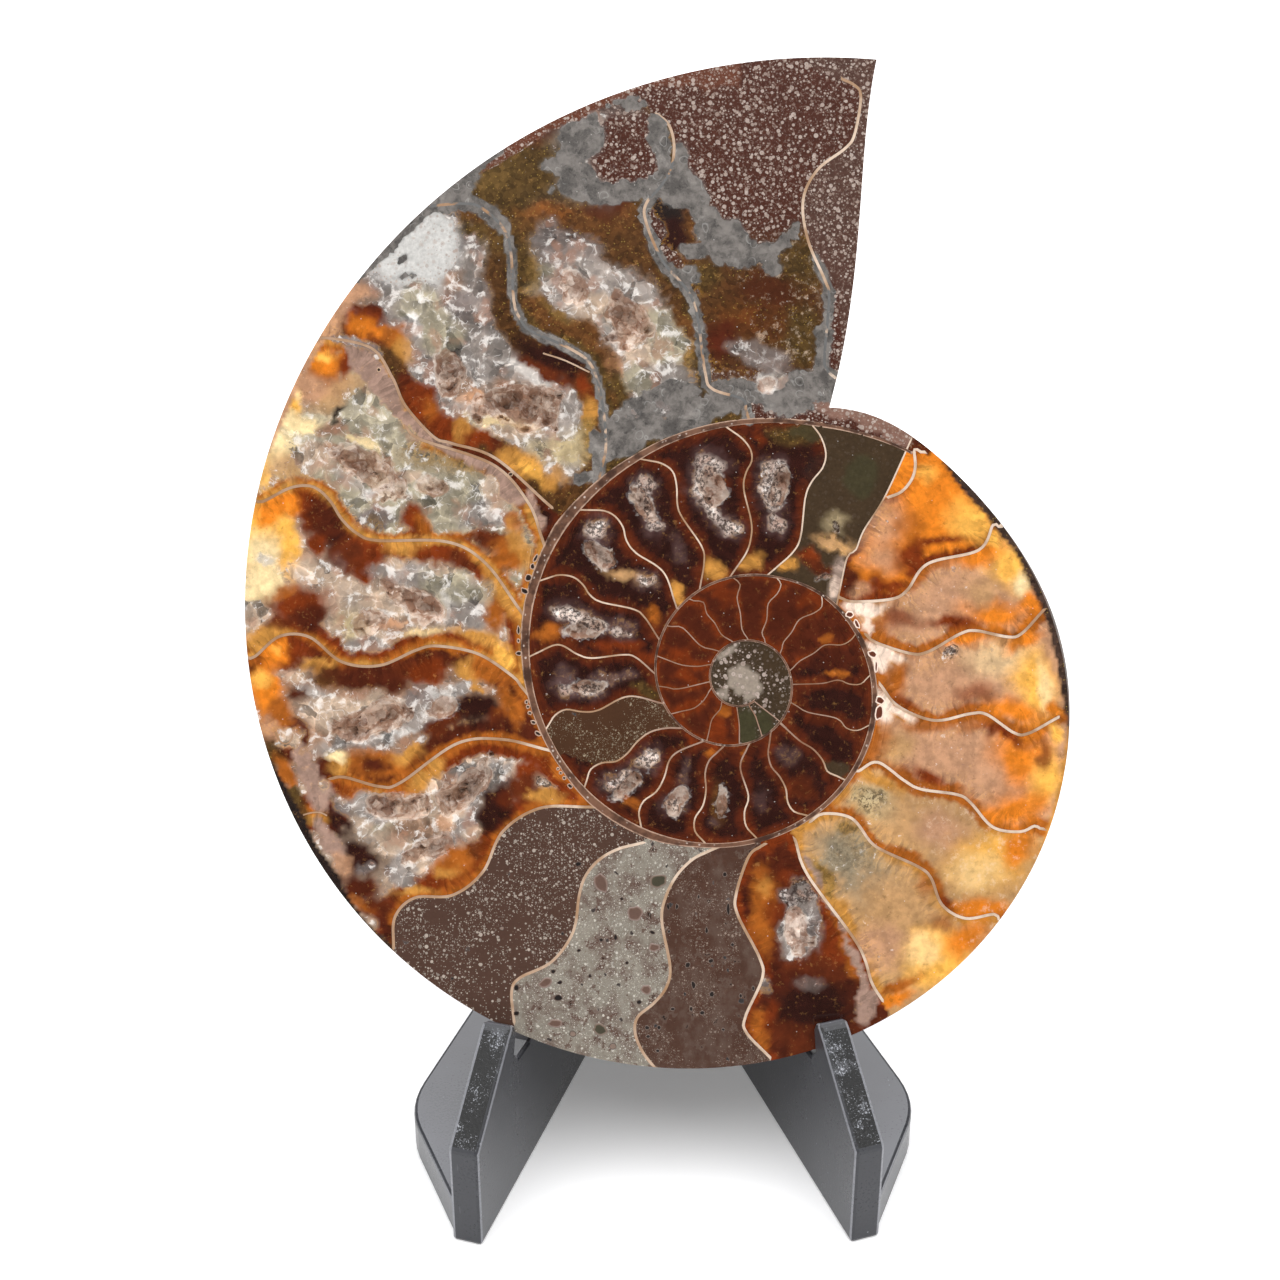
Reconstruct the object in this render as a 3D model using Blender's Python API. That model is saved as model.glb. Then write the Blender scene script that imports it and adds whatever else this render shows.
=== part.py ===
"""Ammonite fossil half on a two-piece plastic stand.

The fossil is one solid: a sawn and polished face with crystal-lined hollows, and
the natural flank of the shell behind it.  It leans back in two mirrored stand
pieces, each a vertical plate with a hook at the front and a flange at its foot.
Lengths are written in millimetres and scaled to metres when a mesh is made.
"""
import math
import random

import bmesh
import bpy
from mathutils import Matrix, Vector

MM = 0.001

# ---- the fossil, in the plane of its cut face: u to the right, w up the face,
# ---- d into the stone; the origin is the first chamber, the spiral's centre
LEAN = math.radians(25)          # how far the face leans back from upright
CENTRE = Vector((9.9, 32.5, 61.3))   # first chamber, from between the feet
TURN = 360.0                     # degrees in one whorl
MOUTH = -282.5                   # total angle of the sawn-off mouth
GROWTH = 0.8911                  # growth of ln(radius) in one turn
# total angle, in degrees counter-clockwise, and the radius of the outer wall there
WALL = ((-372, 97), (-276, 78.3), (-188.5, 62.7), (-95, 48.6), (-1, 40.7), (85, 32.9),
        (175, 26.9), (272, 20.2), (358, 16.5), (447, 13.3), (538, 10.8), (631, 8.0),
        (714, 6.3), (806, 5.2))
CRUST = 2.6                      # matrix left on the wall beside the mouth
CRUST_AT, CRUST_SPREAD = 70, 24  # where it is thickest and how far it reaches, degrees
HALF_THICKNESS = 0.225           # flank height over whorl radius
SEAM = 1.8                       # turns from the rim in to the umbilical seam
INNER_EDGE = 0.8                 # where the whorl before shows inside that seam
SHOULDER = 0.34                  # radius of the shoulder over radius of the rim
PLUG_DEPTH = 4.8                 # matrix filling the umbilicus, behind the face
COLUMNS = 120                    # faces around one whorl
RIBS, RIB_HEIGHT = 30, 0.32      # faint sickle ribs on the flank
SKEW, SKEW_FADE = 5.7, 30.0      # the saw cut at the mouth leans off the radius, degrees
SHELL_LIP = 1.3                  # shell standing proud of the sawn edge, right side
LIP_DEPTH = 2.4                  # how far behind the face the lip is widest
RINGS = (0.0, 0.010, 0.035, 0.08, 0.16, 0.28, 0.43, 0.61, INNER_EDGE,
         0.97, 1.12, 1.27, 1.42, 1.60, SEAM)   # turns in from the rim

# hollows in the face: centre u, w, half length, half width, tilt in degrees, depth
HOLLOWS = (
    (-28.2, 34.4, 5.4, 2.6, -8, 3.6), (-36.6, 38.4, 2.0, 3.2, 10, 2.6),
    (-14.2, 45.2, 3.6, 2.5, -40, 2.8), (-20.5, 49.5, 3.0, 1.8, -60, 1.6),
    (-46.6, 26.6, 5.4, 1.9, -33, 3.0), (-38.5, 24.2, 2.6, 1.4, -10, 1.6),
    (-40.4, 9.8, 3.6, 2.0, -30, 2.6), (-46.5, 7.4, 2.6, 1.7, 20, 1.6),
    (-46.2, -4.6, 5.2, 2.0, 14, 3.0), (-37.4, -3.2, 2.3, 1.5, 30, 1.6),
    (-34.6, -13.6, 4.4, 2.2, 42, 3.2), (-43.0, -15.8, 4.2, 1.7, -6, 2.6),
    (-38.5, -20.6, 3.4, 1.7, 25, 2.2), (6.6, -30.6, 1.7, 3.4, 8, 1.5),
    (4.8, 24.4, 1.3, 3.3, -10, 1.7), (-3.6, 24.2, 1.3, 3.4, 12, 1.7),
    (-12.2, 22.0, 1.3, 3.1, 36, 1.5), (-17.6, 15.6, 1.2, 2.9, 62, 1.5),
    (-19.8, 6.6, 2.9, 1.1, 10, 1.3), (-19.2, -0.6, 2.6, 1.0, 0, 1.3),
    (-14.4, -13.0, 2.5, 1.1, 42, 1.4), (-8.2, -15.0, 1.1, 2.3, -24, 1.2),
    (-2.6, -15.2, 0.9, 2.1, -8, 1.0), (3.2, 37.0, 1.5, 1.2, 0, 0.8),
)
HOLLOW_SEED = 11
HOLLOW_LEVELS = ((1.0, 0.0), (0.86, 0.42), (0.62, 0.86), (0.30, 0.95))   # size, sink
FLOOR_PEAK = 0.75                # a crystal stands in the middle of each floor
JAG = 0.12                       # unevenness of rims and floors
AROUND, AROUND_SMALL = 14, 9     # corners round a hollow
SMALL = 3.0                      # half length under which a hollow is small

# ---- the stand, along each plate: s back from its front edge, z up
PLATE = 3.9                      # thickness of the moulding
GAP_FRONT = 22.7                 # half the distance between the plates' front edges
SPLAY = math.radians(18.3)       # each plate turns in by this towards the back
FRONT_HEIGHT = 14.0
HOOK_TIP = (12.2, 24.2)
SEAT = (13.9, 18.3)               # just clear of the fossil's lower edge
LENGTH = 71.0
FLANGE_HEIGHT = 5.2
FLANGE_WIDTH = 12.9
FLANGE_CORNER = 16.2             # where the flange reaches its full width
FLANGE_RADIUS = 5.0
EDGE = 0.45                      # rounding of the moulded edges
# outline of a plate from the foot's front, over hook, seat and back rest
PROFILE = (
    (0, 0), (0, FRONT_HEIGHT), (HOOK_TIP[0] - 0.9, HOOK_TIP[1] - 0.5), HOOK_TIP,
    (HOOK_TIP[0] + 1.1, HOOK_TIP[1] - 0.5), (HOOK_TIP[0] + 1.5, HOOK_TIP[1] - 1.7),
    (SEAT[0] - 1.0, SEAT[1] + 1.3), SEAT, (18.0, 17.9), (22.5, 18.8), (26.5, 21.0),
    (32.0, 25.6), (38.0, 33.0), (44.5, 44.5), (57.0, 70.2), (58.3, 71.9), (60.3, 72.9),
    (63.2, 72.9), (65.6, 71.4), (67.0, 68.8), (LENGTH, 8.0), (LENGTH, 0),
)


def clear_scene():
    """Empty the scene, whatever it holds."""
    for thing in list(bpy.data.objects):
        bpy.data.objects.remove(thing, do_unlink=True)


def make_material(name, colour, roughness, coat=0.0):
    """A plain Principled finish."""
    material = bpy.data.materials.new(name)
    material.use_nodes = True
    shader = material.node_tree.nodes["Principled BSDF"]
    shader.inputs["Base Color"].default_value = (*colour, 1)
    shader.inputs["Roughness"].default_value = roughness
    shader.inputs["Metallic"].default_value = 0
    shader.inputs["Coat Weight"].default_value = coat
    return material


def add_object(name, mesh_data, material):
    """Turn a bmesh into an object with outward faces."""
    bmesh.ops.recalc_face_normals(mesh_data, faces=mesh_data.faces)
    mesh = bpy.data.meshes.new(name)
    mesh_data.to_mesh(mesh)
    mesh_data.free()
    thing = bpy.data.objects.new(name, mesh)
    thing.data.materials.append(material)
    bpy.context.collection.objects.link(thing)
    return thing


def smoothstep(x):
    """Ease from 0 to 1 as x does."""
    x = min(max(x, 0.0), 1.0)
    return x * x * (3 - 2 * x)


# ---------------------------------------------------------------- the fossil
def wall_radius(angle):
    """Radius of the spiral wall at a total angle, smooth between the listed ones."""
    inner = WALL[-1]
    if angle >= inner[0]:
        return inner[1] * math.exp(-GROWTH * (angle - inner[0]) / TURN)
    spot = 1
    while spot < len(WALL) - 3 and WALL[spot + 1][0] <= angle:
        spot += 1
    before, start, end, after = [Vector((a, math.log(r))) for a, r in WALL[spot - 1:spot + 3]]
    step = end.x - start.x
    t = (angle - start.x) / step
    slope_start = (end.y - before.y) / (end.x - before.x) * step
    slope_end = (after.y - start.y) / (after.x - start.x) * step
    height = (start.y * (2 * t**3 - 3 * t**2 + 1) + slope_start * (t**3 - 2 * t**2 + t)
              + end.y * (3 * t**2 - 2 * t**3) + slope_end * (t**3 - t**2))
    return math.exp(height)


def crust_on(angle):
    """Extra matrix on the wall, for the stretch beside the mouth."""
    away = (angle - CRUST_AT) / CRUST_SPREAD
    return CRUST * math.exp(-away * away)


def lip_on(angle):
    """How far the shell bulges past the sawn edge."""
    right = math.exp(-((angle - 8) / 34) ** 2)
    lower_left = 0.55 * math.exp(-((angle + 146) / 16) ** 2)
    return SHELL_LIP * (right + lower_left)


def flank_depth(angle, ratio):
    """Depth of the natural surface, for a radius given over the rim's radius."""
    seam_ratio = math.exp(-GROWTH * SEAM)
    if ratio >= SHOULDER:
        x = (ratio - SHOULDER) / (1 - SHOULDER)
        share = math.sqrt(max(0.0, 1 - x ** 2.15))
    else:
        x = (ratio - seam_ratio) / (SHOULDER - seam_ratio)
        low = math.exp(-GROWTH)
        share = low + (1 - low) * smoothstep(x ** 0.8 if x > 0 else 0)
    return share * HALF_THICKNESS * wall_radius(angle)


def rib_on(angle, turns):
    """Height of the sickle ribs, which fade at the rim and at the shoulder."""
    fade = smoothstep(turns / 0.12) * smoothstep((1.05 - turns) / 0.45)
    sickle = 5.0 * math.sin(turns * 4.2) - 7.0 * turns
    return RIB_HEIGHT * fade * math.cos(RIBS * math.radians(angle + sickle))


def skew_at(angle, radius):
    """Turn that brings the mouth's straight cut off the radius."""
    away = abs((angle - MOUTH + TURN / 2) % TURN - TURN / 2)
    inward = smoothstep((wall_radius(MOUTH) - radius) / (wall_radius(MOUTH) * 0.62))
    return SKEW * inward * max(0.0, 1 - away / SKEW_FADE)


def flank_point(angle, turns):
    """A point of the natural surface: total angle, and turns in from the rim."""
    base = wall_radius(angle + TURN * turns)
    radius = base + crust_on(angle) * smoothstep(1 - turns / 0.2)
    ratio = base / wall_radius(angle)
    depth = flank_depth(angle, ratio) + rib_on(angle, turns)
    if turns <= 0:
        depth = 0.0
    if turns >= INNER_EDGE:
        depth = max(depth, PLUG_DEPTH)
    bulge = math.exp(-((depth - LIP_DEPTH) / 1.6) ** 2) if depth > 0.05 else 0.0
    radius += lip_on(angle) * bulge * (1 if turns < 0.3 else 0)
    turn = math.radians(angle - skew_at(angle, radius))
    return Vector((radius * math.cos(turn), radius * math.sin(turn), max(depth, 0.0)))


def sink_hollow(mesh_data, hollow, chance):
    """Sink one hollow, a jagged rim on the face and crystal facets down to its floor."""
    u, w, half_length, half_width, tilt, depth = hollow
    corners = AROUND if max(half_length, half_width) > SMALL else AROUND_SMALL
    turn = Matrix.Rotation(math.radians(tilt), 2)
    rings = []
    for index, (scale, sink) in enumerate(HOLLOW_LEVELS):
        ring = []
        for corner in range(corners):
            phase = 2 * math.pi * (corner + 0.5 * (index % 2)) / corners
            jag = scale * (1 + chance.uniform(-JAG, JAG))
            flat = turn @ Vector((half_length * math.cos(phase), half_width * math.sin(phase)))
            drop = sink * depth * (1 + chance.uniform(-2 * JAG, 2 * JAG))
            ring.append(mesh_data.verts.new((u + flat.x * jag, w + flat.y * jag, drop)))
        rings.append(ring)
    for outer, inner in zip(rings, rings[1:]):
        for corner in range(corners):
            after = (corner + 1) % corners
            mesh_data.faces.new((outer[corner], outer[after], inner[corner]))
            mesh_data.faces.new((inner[corner], outer[after], inner[after]))
    peak = mesh_data.verts.new((u, w, depth * FLOOR_PEAK))
    for corner in range(corners):
        mesh_data.faces.new((rings[-1][corner], rings[-1][(corner + 1) % corners], peak))
    return rings[0]


def edges_round(ring):
    """The edges of a closed ring of vertices."""
    return [first.link_edges[[e.other_vert(first) for e in first.link_edges].index(second)]
            for first, second in zip(ring, ring[1:] + ring[:1])]


def make_flank(mesh_data):
    """The natural surface as a strip that winds in, with the step at the mouth."""
    step = TURN / COLUMNS
    angles = [MOUTH + step * column for column in range(COLUMNS + 1)]
    edge = RINGS.index(INNER_EDGE)
    outer = [[mesh_data.verts.new(flank_point(a, s)) for s in RINGS] for a in angles[1:]]
    mouth = [mesh_data.verts.new(flank_point(MOUTH, s)) for s in RINGS[:-1]]
    outer.insert(0, mouth + [outer[-1][edge]])
    inner_rings = RINGS[edge:]
    inner = []
    for column, angle in enumerate(angles):
        if column == 0:
            inner.append(outer[-1][edge:])
            continue
        line = [outer[column][-1]]
        for turns in inner_rings[1:]:
            line.append(mesh_data.verts.new(flank_point(angle + TURN, turns)))
        inner.append(line)
    for strip in (outer, inner):
        for left, right in zip(strip, strip[1:]):
            for row in range(len(left) - 1):
                mesh_data.faces.new((left[row], left[row + 1], right[row + 1], right[row]))
    mesh_data.faces.new([line[-1] for line in inner] + inner[-1][-2:0:-1])
    return outer


def make_fossil(material, placing):
    """Flank, mouth and flat face closed into one solid, with its hollows sunk in."""
    mesh_data = bmesh.new()
    outer = make_flank(mesh_data)
    mouth, start = outer[0], outer[-1]
    edge = RINGS.index(INNER_EDGE)
    # the mouth is a saw cut: straight down to the face, then over the whorl before
    foot = [mouth[0]]
    foot += [mesh_data.verts.new((v.co.x, v.co.y, 0)) for v in mouth[1:edge + 1]]
    mesh_data.faces.new((mouth[0], mouth[1], foot[1]))
    for row in range(1, edge):
        mesh_data.faces.new((mouth[row], mouth[row + 1], foot[row + 1], foot[row]))
    mesh_data.faces.new(mouth[edge:] + start[edge - 1::-1] + [foot[edge]])
    bmesh.ops.triangulate(mesh_data, faces=[f for f in mesh_data.faces if len(f.verts) > 4])
    # the sawn face is filled between its outline and the rims of the hollows
    outline = [line[0] for line in outer] + foot[:0:-1]
    chance = random.Random(HOLLOW_SEED)
    border = edges_round(outline)
    for hollow in HOLLOWS:
        border += edges_round(sink_hollow(mesh_data, hollow, chance))
    bmesh.ops.triangle_fill(mesh_data, use_beauty=True, edges=border)
    bmesh.ops.transform(mesh_data, matrix=placing, verts=mesh_data.verts)
    return add_object("ammonite_half", mesh_data, material)


# ----------------------------------------------------------------- the stand
def place_on_plate(side, s, across, z):
    """World place for a point s back along a plate, and across it outwards."""
    back = Vector((-side * math.sin(SPLAY), math.cos(SPLAY), 0))
    out = Vector((side * math.cos(SPLAY), math.sin(SPLAY), 0))
    place = Vector((side * GAP_FRONT, 0, z)) + back * s + out * across
    return place * MM


def flange_outline():
    """Plan of the flange: it widens from the plate's front, round a soft corner."""
    full = PLATE + FLANGE_WIDTH
    taper = Vector((FLANGE_CORNER, FLANGE_WIDTH))
    corner = Vector((FLANGE_CORNER, full))
    start = corner - taper.normalized() * FLANGE_RADIUS
    end = corner + Vector((FLANGE_RADIUS, 0))
    root = PLATE * 0.5               # the flange reaches into the plate
    points = [Vector((0.8, root)), Vector((0.8, PLATE))]
    for index in range(7):
        t = index / 6
        points.append(start * (1 - t) ** 2 + corner * 2 * t * (1 - t) + end * t ** 2)
    points += [Vector((LENGTH - 4, full)), Vector((LENGTH - 1, full - 1)),
               Vector((LENGTH, full - 4)), Vector((LENGTH, root))]
    return points


def extrude_between(mesh_data, first, second):
    """Close two matching outlines into a slab."""
    rings = [[mesh_data.verts.new(place) for place in outline] for outline in (first, second)]
    mesh_data.faces.new(rings[0])
    mesh_data.faces.new(rings[1])
    count = len(first)
    for index in range(count):
        after = (index + 1) % count
        mesh_data.faces.new((rings[0][index], rings[0][after], rings[1][after], rings[1][index]))


def soften(thing):
    """Round a moulding's edges a little."""
    bevel = thing.modifiers.new("edges", "BEVEL")
    bevel.width = EDGE * MM
    bevel.segments = 2
    bevel.limit_method = "ANGLE"
    bevel.angle_limit = math.radians(40)


def make_stand_piece(name, side, material):
    """One moulding: a plate, and the flange joined to its foot."""
    plate = bmesh.new()
    extrude_between(plate, [place_on_plate(side, s, 0, z) for s, z in PROFILE],
                    [place_on_plate(side, s, PLATE, z) for s, z in PROFILE])
    piece = add_object(name, plate, material)
    soften(piece)

    flange = bmesh.new()
    outline = flange_outline()
    extrude_between(flange, [place_on_plate(side, p.x, p.y, 0) for p in outline],
                    [place_on_plate(side, p.x, p.y, FLANGE_HEIGHT) for p in outline])
    cutter = add_object(name + "_flange_cutter", flange, material)
    cutter.hide_render = True
    cutter.display_type = "WIRE"
    soften(cutter)

    union = piece.modifiers.new("flange", "BOOLEAN")
    union.operation = "UNION"
    union.object = cutter
    union.solver = "EXACT"
    return piece


def centre_on_floor():
    """Put the origin under the middle of the whole object's box."""
    bpy.context.view_layer.update()
    things = [t for t in bpy.data.objects if t.type == "MESH"]
    solid = [t for t in things if not t.hide_render]
    corners = [Vector(corner) for t in solid for corner in t.bound_box]
    middle = Vector([(min(c[i] for c in corners) + max(c[i] for c in corners)) / 2
                     for i in range(3)])
    shift = Matrix.Translation((-middle.x, -middle.y, 0))
    for thing in things:
        thing.data.transform(shift)


def main():
    clear_scene()
    stone = make_material("polished_fossil", (0.20, 0.09, 0.04), 0.18, 0.6)
    plastic = make_material("black_plastic", (0.012, 0.012, 0.014), 0.28)
    # columns of the placing matrix: u to the right, w up the face, d into the stone
    placing = Matrix(((1, 0, 0, CENTRE.x),
                      (0, math.sin(LEAN), math.cos(LEAN), CENTRE.y),
                      (0, math.cos(LEAN), -math.sin(LEAN), CENTRE.z),
                      (0, 0, 0, 1)))
    placing = Matrix.Scale(MM, 4) @ placing
    make_fossil(stone, placing)
    for name, side in (("stand_left", -1), ("stand_right", 1)):
        make_stand_piece(name, side, plastic)
    centre_on_floor()


main()
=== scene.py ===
import math
import bmesh
import bpy
import numpy as np
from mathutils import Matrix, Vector, kdtree
from mathutils.geometry import delaunay_2d_cdt


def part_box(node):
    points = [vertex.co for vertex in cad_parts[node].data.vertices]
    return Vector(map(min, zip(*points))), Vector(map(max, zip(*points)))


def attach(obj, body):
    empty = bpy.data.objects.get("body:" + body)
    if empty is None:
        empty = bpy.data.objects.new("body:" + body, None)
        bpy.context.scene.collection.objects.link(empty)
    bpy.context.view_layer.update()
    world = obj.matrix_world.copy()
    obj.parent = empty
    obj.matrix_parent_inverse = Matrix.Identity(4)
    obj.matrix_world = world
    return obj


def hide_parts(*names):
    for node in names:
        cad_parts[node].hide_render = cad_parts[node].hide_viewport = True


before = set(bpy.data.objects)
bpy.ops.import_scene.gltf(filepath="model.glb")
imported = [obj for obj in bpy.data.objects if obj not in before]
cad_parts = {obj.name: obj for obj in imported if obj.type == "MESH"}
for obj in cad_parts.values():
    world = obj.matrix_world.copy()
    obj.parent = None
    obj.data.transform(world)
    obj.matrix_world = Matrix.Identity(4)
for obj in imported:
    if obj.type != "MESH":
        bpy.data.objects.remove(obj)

scene = bpy.context.scene
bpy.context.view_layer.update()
mm = 0.001
turnDegrees = 360.0
tile = 128                       # cells before a noise repeats

# The fossil is planned in millimetres on its cut face: u right, w up, d into the stone.
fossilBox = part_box("ammonite_half")
fossil = {
    "lean": math.radians(25),
    "firstChamber": fossilBox[0] + Vector((0.06200, 0.02048, 0.04431)),   # centre of the spiral
    "mouth": -282.5,             # total angle of the sawn mouth, degrees
    "growth": 0.8911,            # of ln(radius) in one turn
    "crust": 2.6, "crustAt": 70, "crustSpread": 24, "crustTurns": 0.2,
    "halfThickness": 0.225, "shoulder": 0.34,        # of the radius
    "flank": 2.15, "hub": 0.8,   # powers of the two curves of the natural surface
    "seam": 1.8, "innerEdge": 0.8, "plugDepth": 4.8,
    "ribs": 30, "ribHeight": 0.32, "ribBow": 5.0, "ribWave": 4.2, "ribSweep": 7.0,
    "ribStart": 0.12, "ribEnd": 1.05, "ribFade": 0.45,
    "skew": 5.7, "skewFade": 30.0, "skewReach": 0.62,
    "lip": 1.3, "lipDepth": 2.4, "lipWidth": 1.6,
    "lips": ((8, 34, 1.0), (-146, 16, 0.55)),        # where, how far to each side, share
    "columns": 480,
}
# total angle and radius of the spiral wall
wallKnots = ((-372, 97), (-276, 78.3), (-188.5, 62.7), (-95, 48.6), (-1, 40.7), (85, 32.9),
             (175, 26.9), (272, 20.2), (358, 16.5), (447, 13.3), (538, 10.8), (631, 8.0),
             (714, 6.3), (806, 5.2))


def ease(x):
    x = np.clip(x, 0.0, 1.0)
    return x * x * (3 - 2 * x)


def wallRadius(angle):
    # smooth through the knots, then a true log spiral
    angle = np.asarray(angle, float)
    knots = np.array([k[0] for k in wallKnots], float)
    logs = np.log([k[1] for k in wallKnots])
    slopes = np.empty_like(logs)
    slopes[1:-1] = (logs[2:] - logs[:-2]) / (knots[2:] - knots[:-2])
    slopes[0] = slopes[1]
    slopes[-1] = -fossil["growth"] / turnDegrees
    spot = np.clip(np.searchsorted(knots, angle, side="right") - 1, 0, len(knots) - 2)
    step = knots[spot + 1] - knots[spot]
    t = np.clip((angle - knots[spot]) / step, 0, 1)
    height = (logs[spot] * (2 * t**3 - 3 * t**2 + 1) + slopes[spot] * step * (t**3 - 2 * t**2 + t)
              + logs[spot + 1] * (3 * t**2 - 2 * t**3) + slopes[spot + 1] * step * (t**3 - t**2))
    beyond = np.maximum(angle - knots[-1], 0)
    return np.exp(height - fossil["growth"] * beyond / turnDegrees)


def crustOn(angle):
    return fossil["crust"] * np.exp(-((angle - fossil["crustAt"]) / fossil["crustSpread"]) ** 2)


def skewAt(angle, radius):
    # how far the face is turned near the mouth, degrees
    away = np.abs((angle - fossil["mouth"] + 180) % turnDegrees - 180)
    mouthRadius = wallRadius(fossil["mouth"])
    inward = ease((mouthRadius - radius) / (mouthRadius * fossil["skewReach"]))
    return fossil["skew"] * inward * np.maximum(0.0, 1 - away / fossil["skewFade"])


def onFace(angle, radius):
    turn = np.radians(angle - skewAt(angle, radius))
    return radius * np.cos(turn), radius * np.sin(turn)


def flankPoints(angle, turns):
    # the natural surface: total angle, and turns in from the rim
    base = wallRadius(angle + turnDegrees * turns)
    rim = wallRadius(angle)
    ratio = base / rim
    seamRatio = math.exp(-fossil["growth"] * fossil["seam"])
    shoulder = fossil["shoulder"]
    out = np.clip((ratio - shoulder) / (1 - shoulder), 0, 1)
    low = math.exp(-fossil["growth"])
    inside = np.clip((ratio - seamRatio) / (shoulder - seamRatio), 0, 1)
    share = np.where(ratio >= shoulder, np.sqrt(np.maximum(0, 1 - out ** fossil["flank"])),
                     low + (1 - low) * ease(inside ** fossil["hub"]))
    depth = share * fossil["halfThickness"] * rim
    fade = ease(turns / fossil["ribStart"]) * ease((fossil["ribEnd"] - turns) / fossil["ribFade"])
    sickle = fossil["ribBow"] * np.sin(turns * fossil["ribWave"]) - fossil["ribSweep"] * turns
    depth = depth + fossil["ribHeight"] * fade * np.cos(fossil["ribs"] * np.radians(angle + sickle))
    depth = np.where(turns <= 0, 0.0, depth)
    depth = np.where(turns >= fossil["innerEdge"], np.maximum(depth, fossil["plugDepth"]), depth)
    radius = base + crustOn(angle) * ease(1 - turns / fossil["crustTurns"])
    lip = fossil["lip"] * sum(part * np.exp(-((angle - at) / spread) ** 2)
                              for at, spread, part in fossil["lips"])
    bulge = np.exp(-((depth - fossil["lipDepth"]) / fossil["lipWidth"]) ** 2)
    bulge = bulge * (depth > 0.05) * (turns < 0.3)
    u, w = onFace(angle, radius + lip * bulge)
    return np.stack([u, w, np.maximum(depth, 0)], axis=-1)


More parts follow.
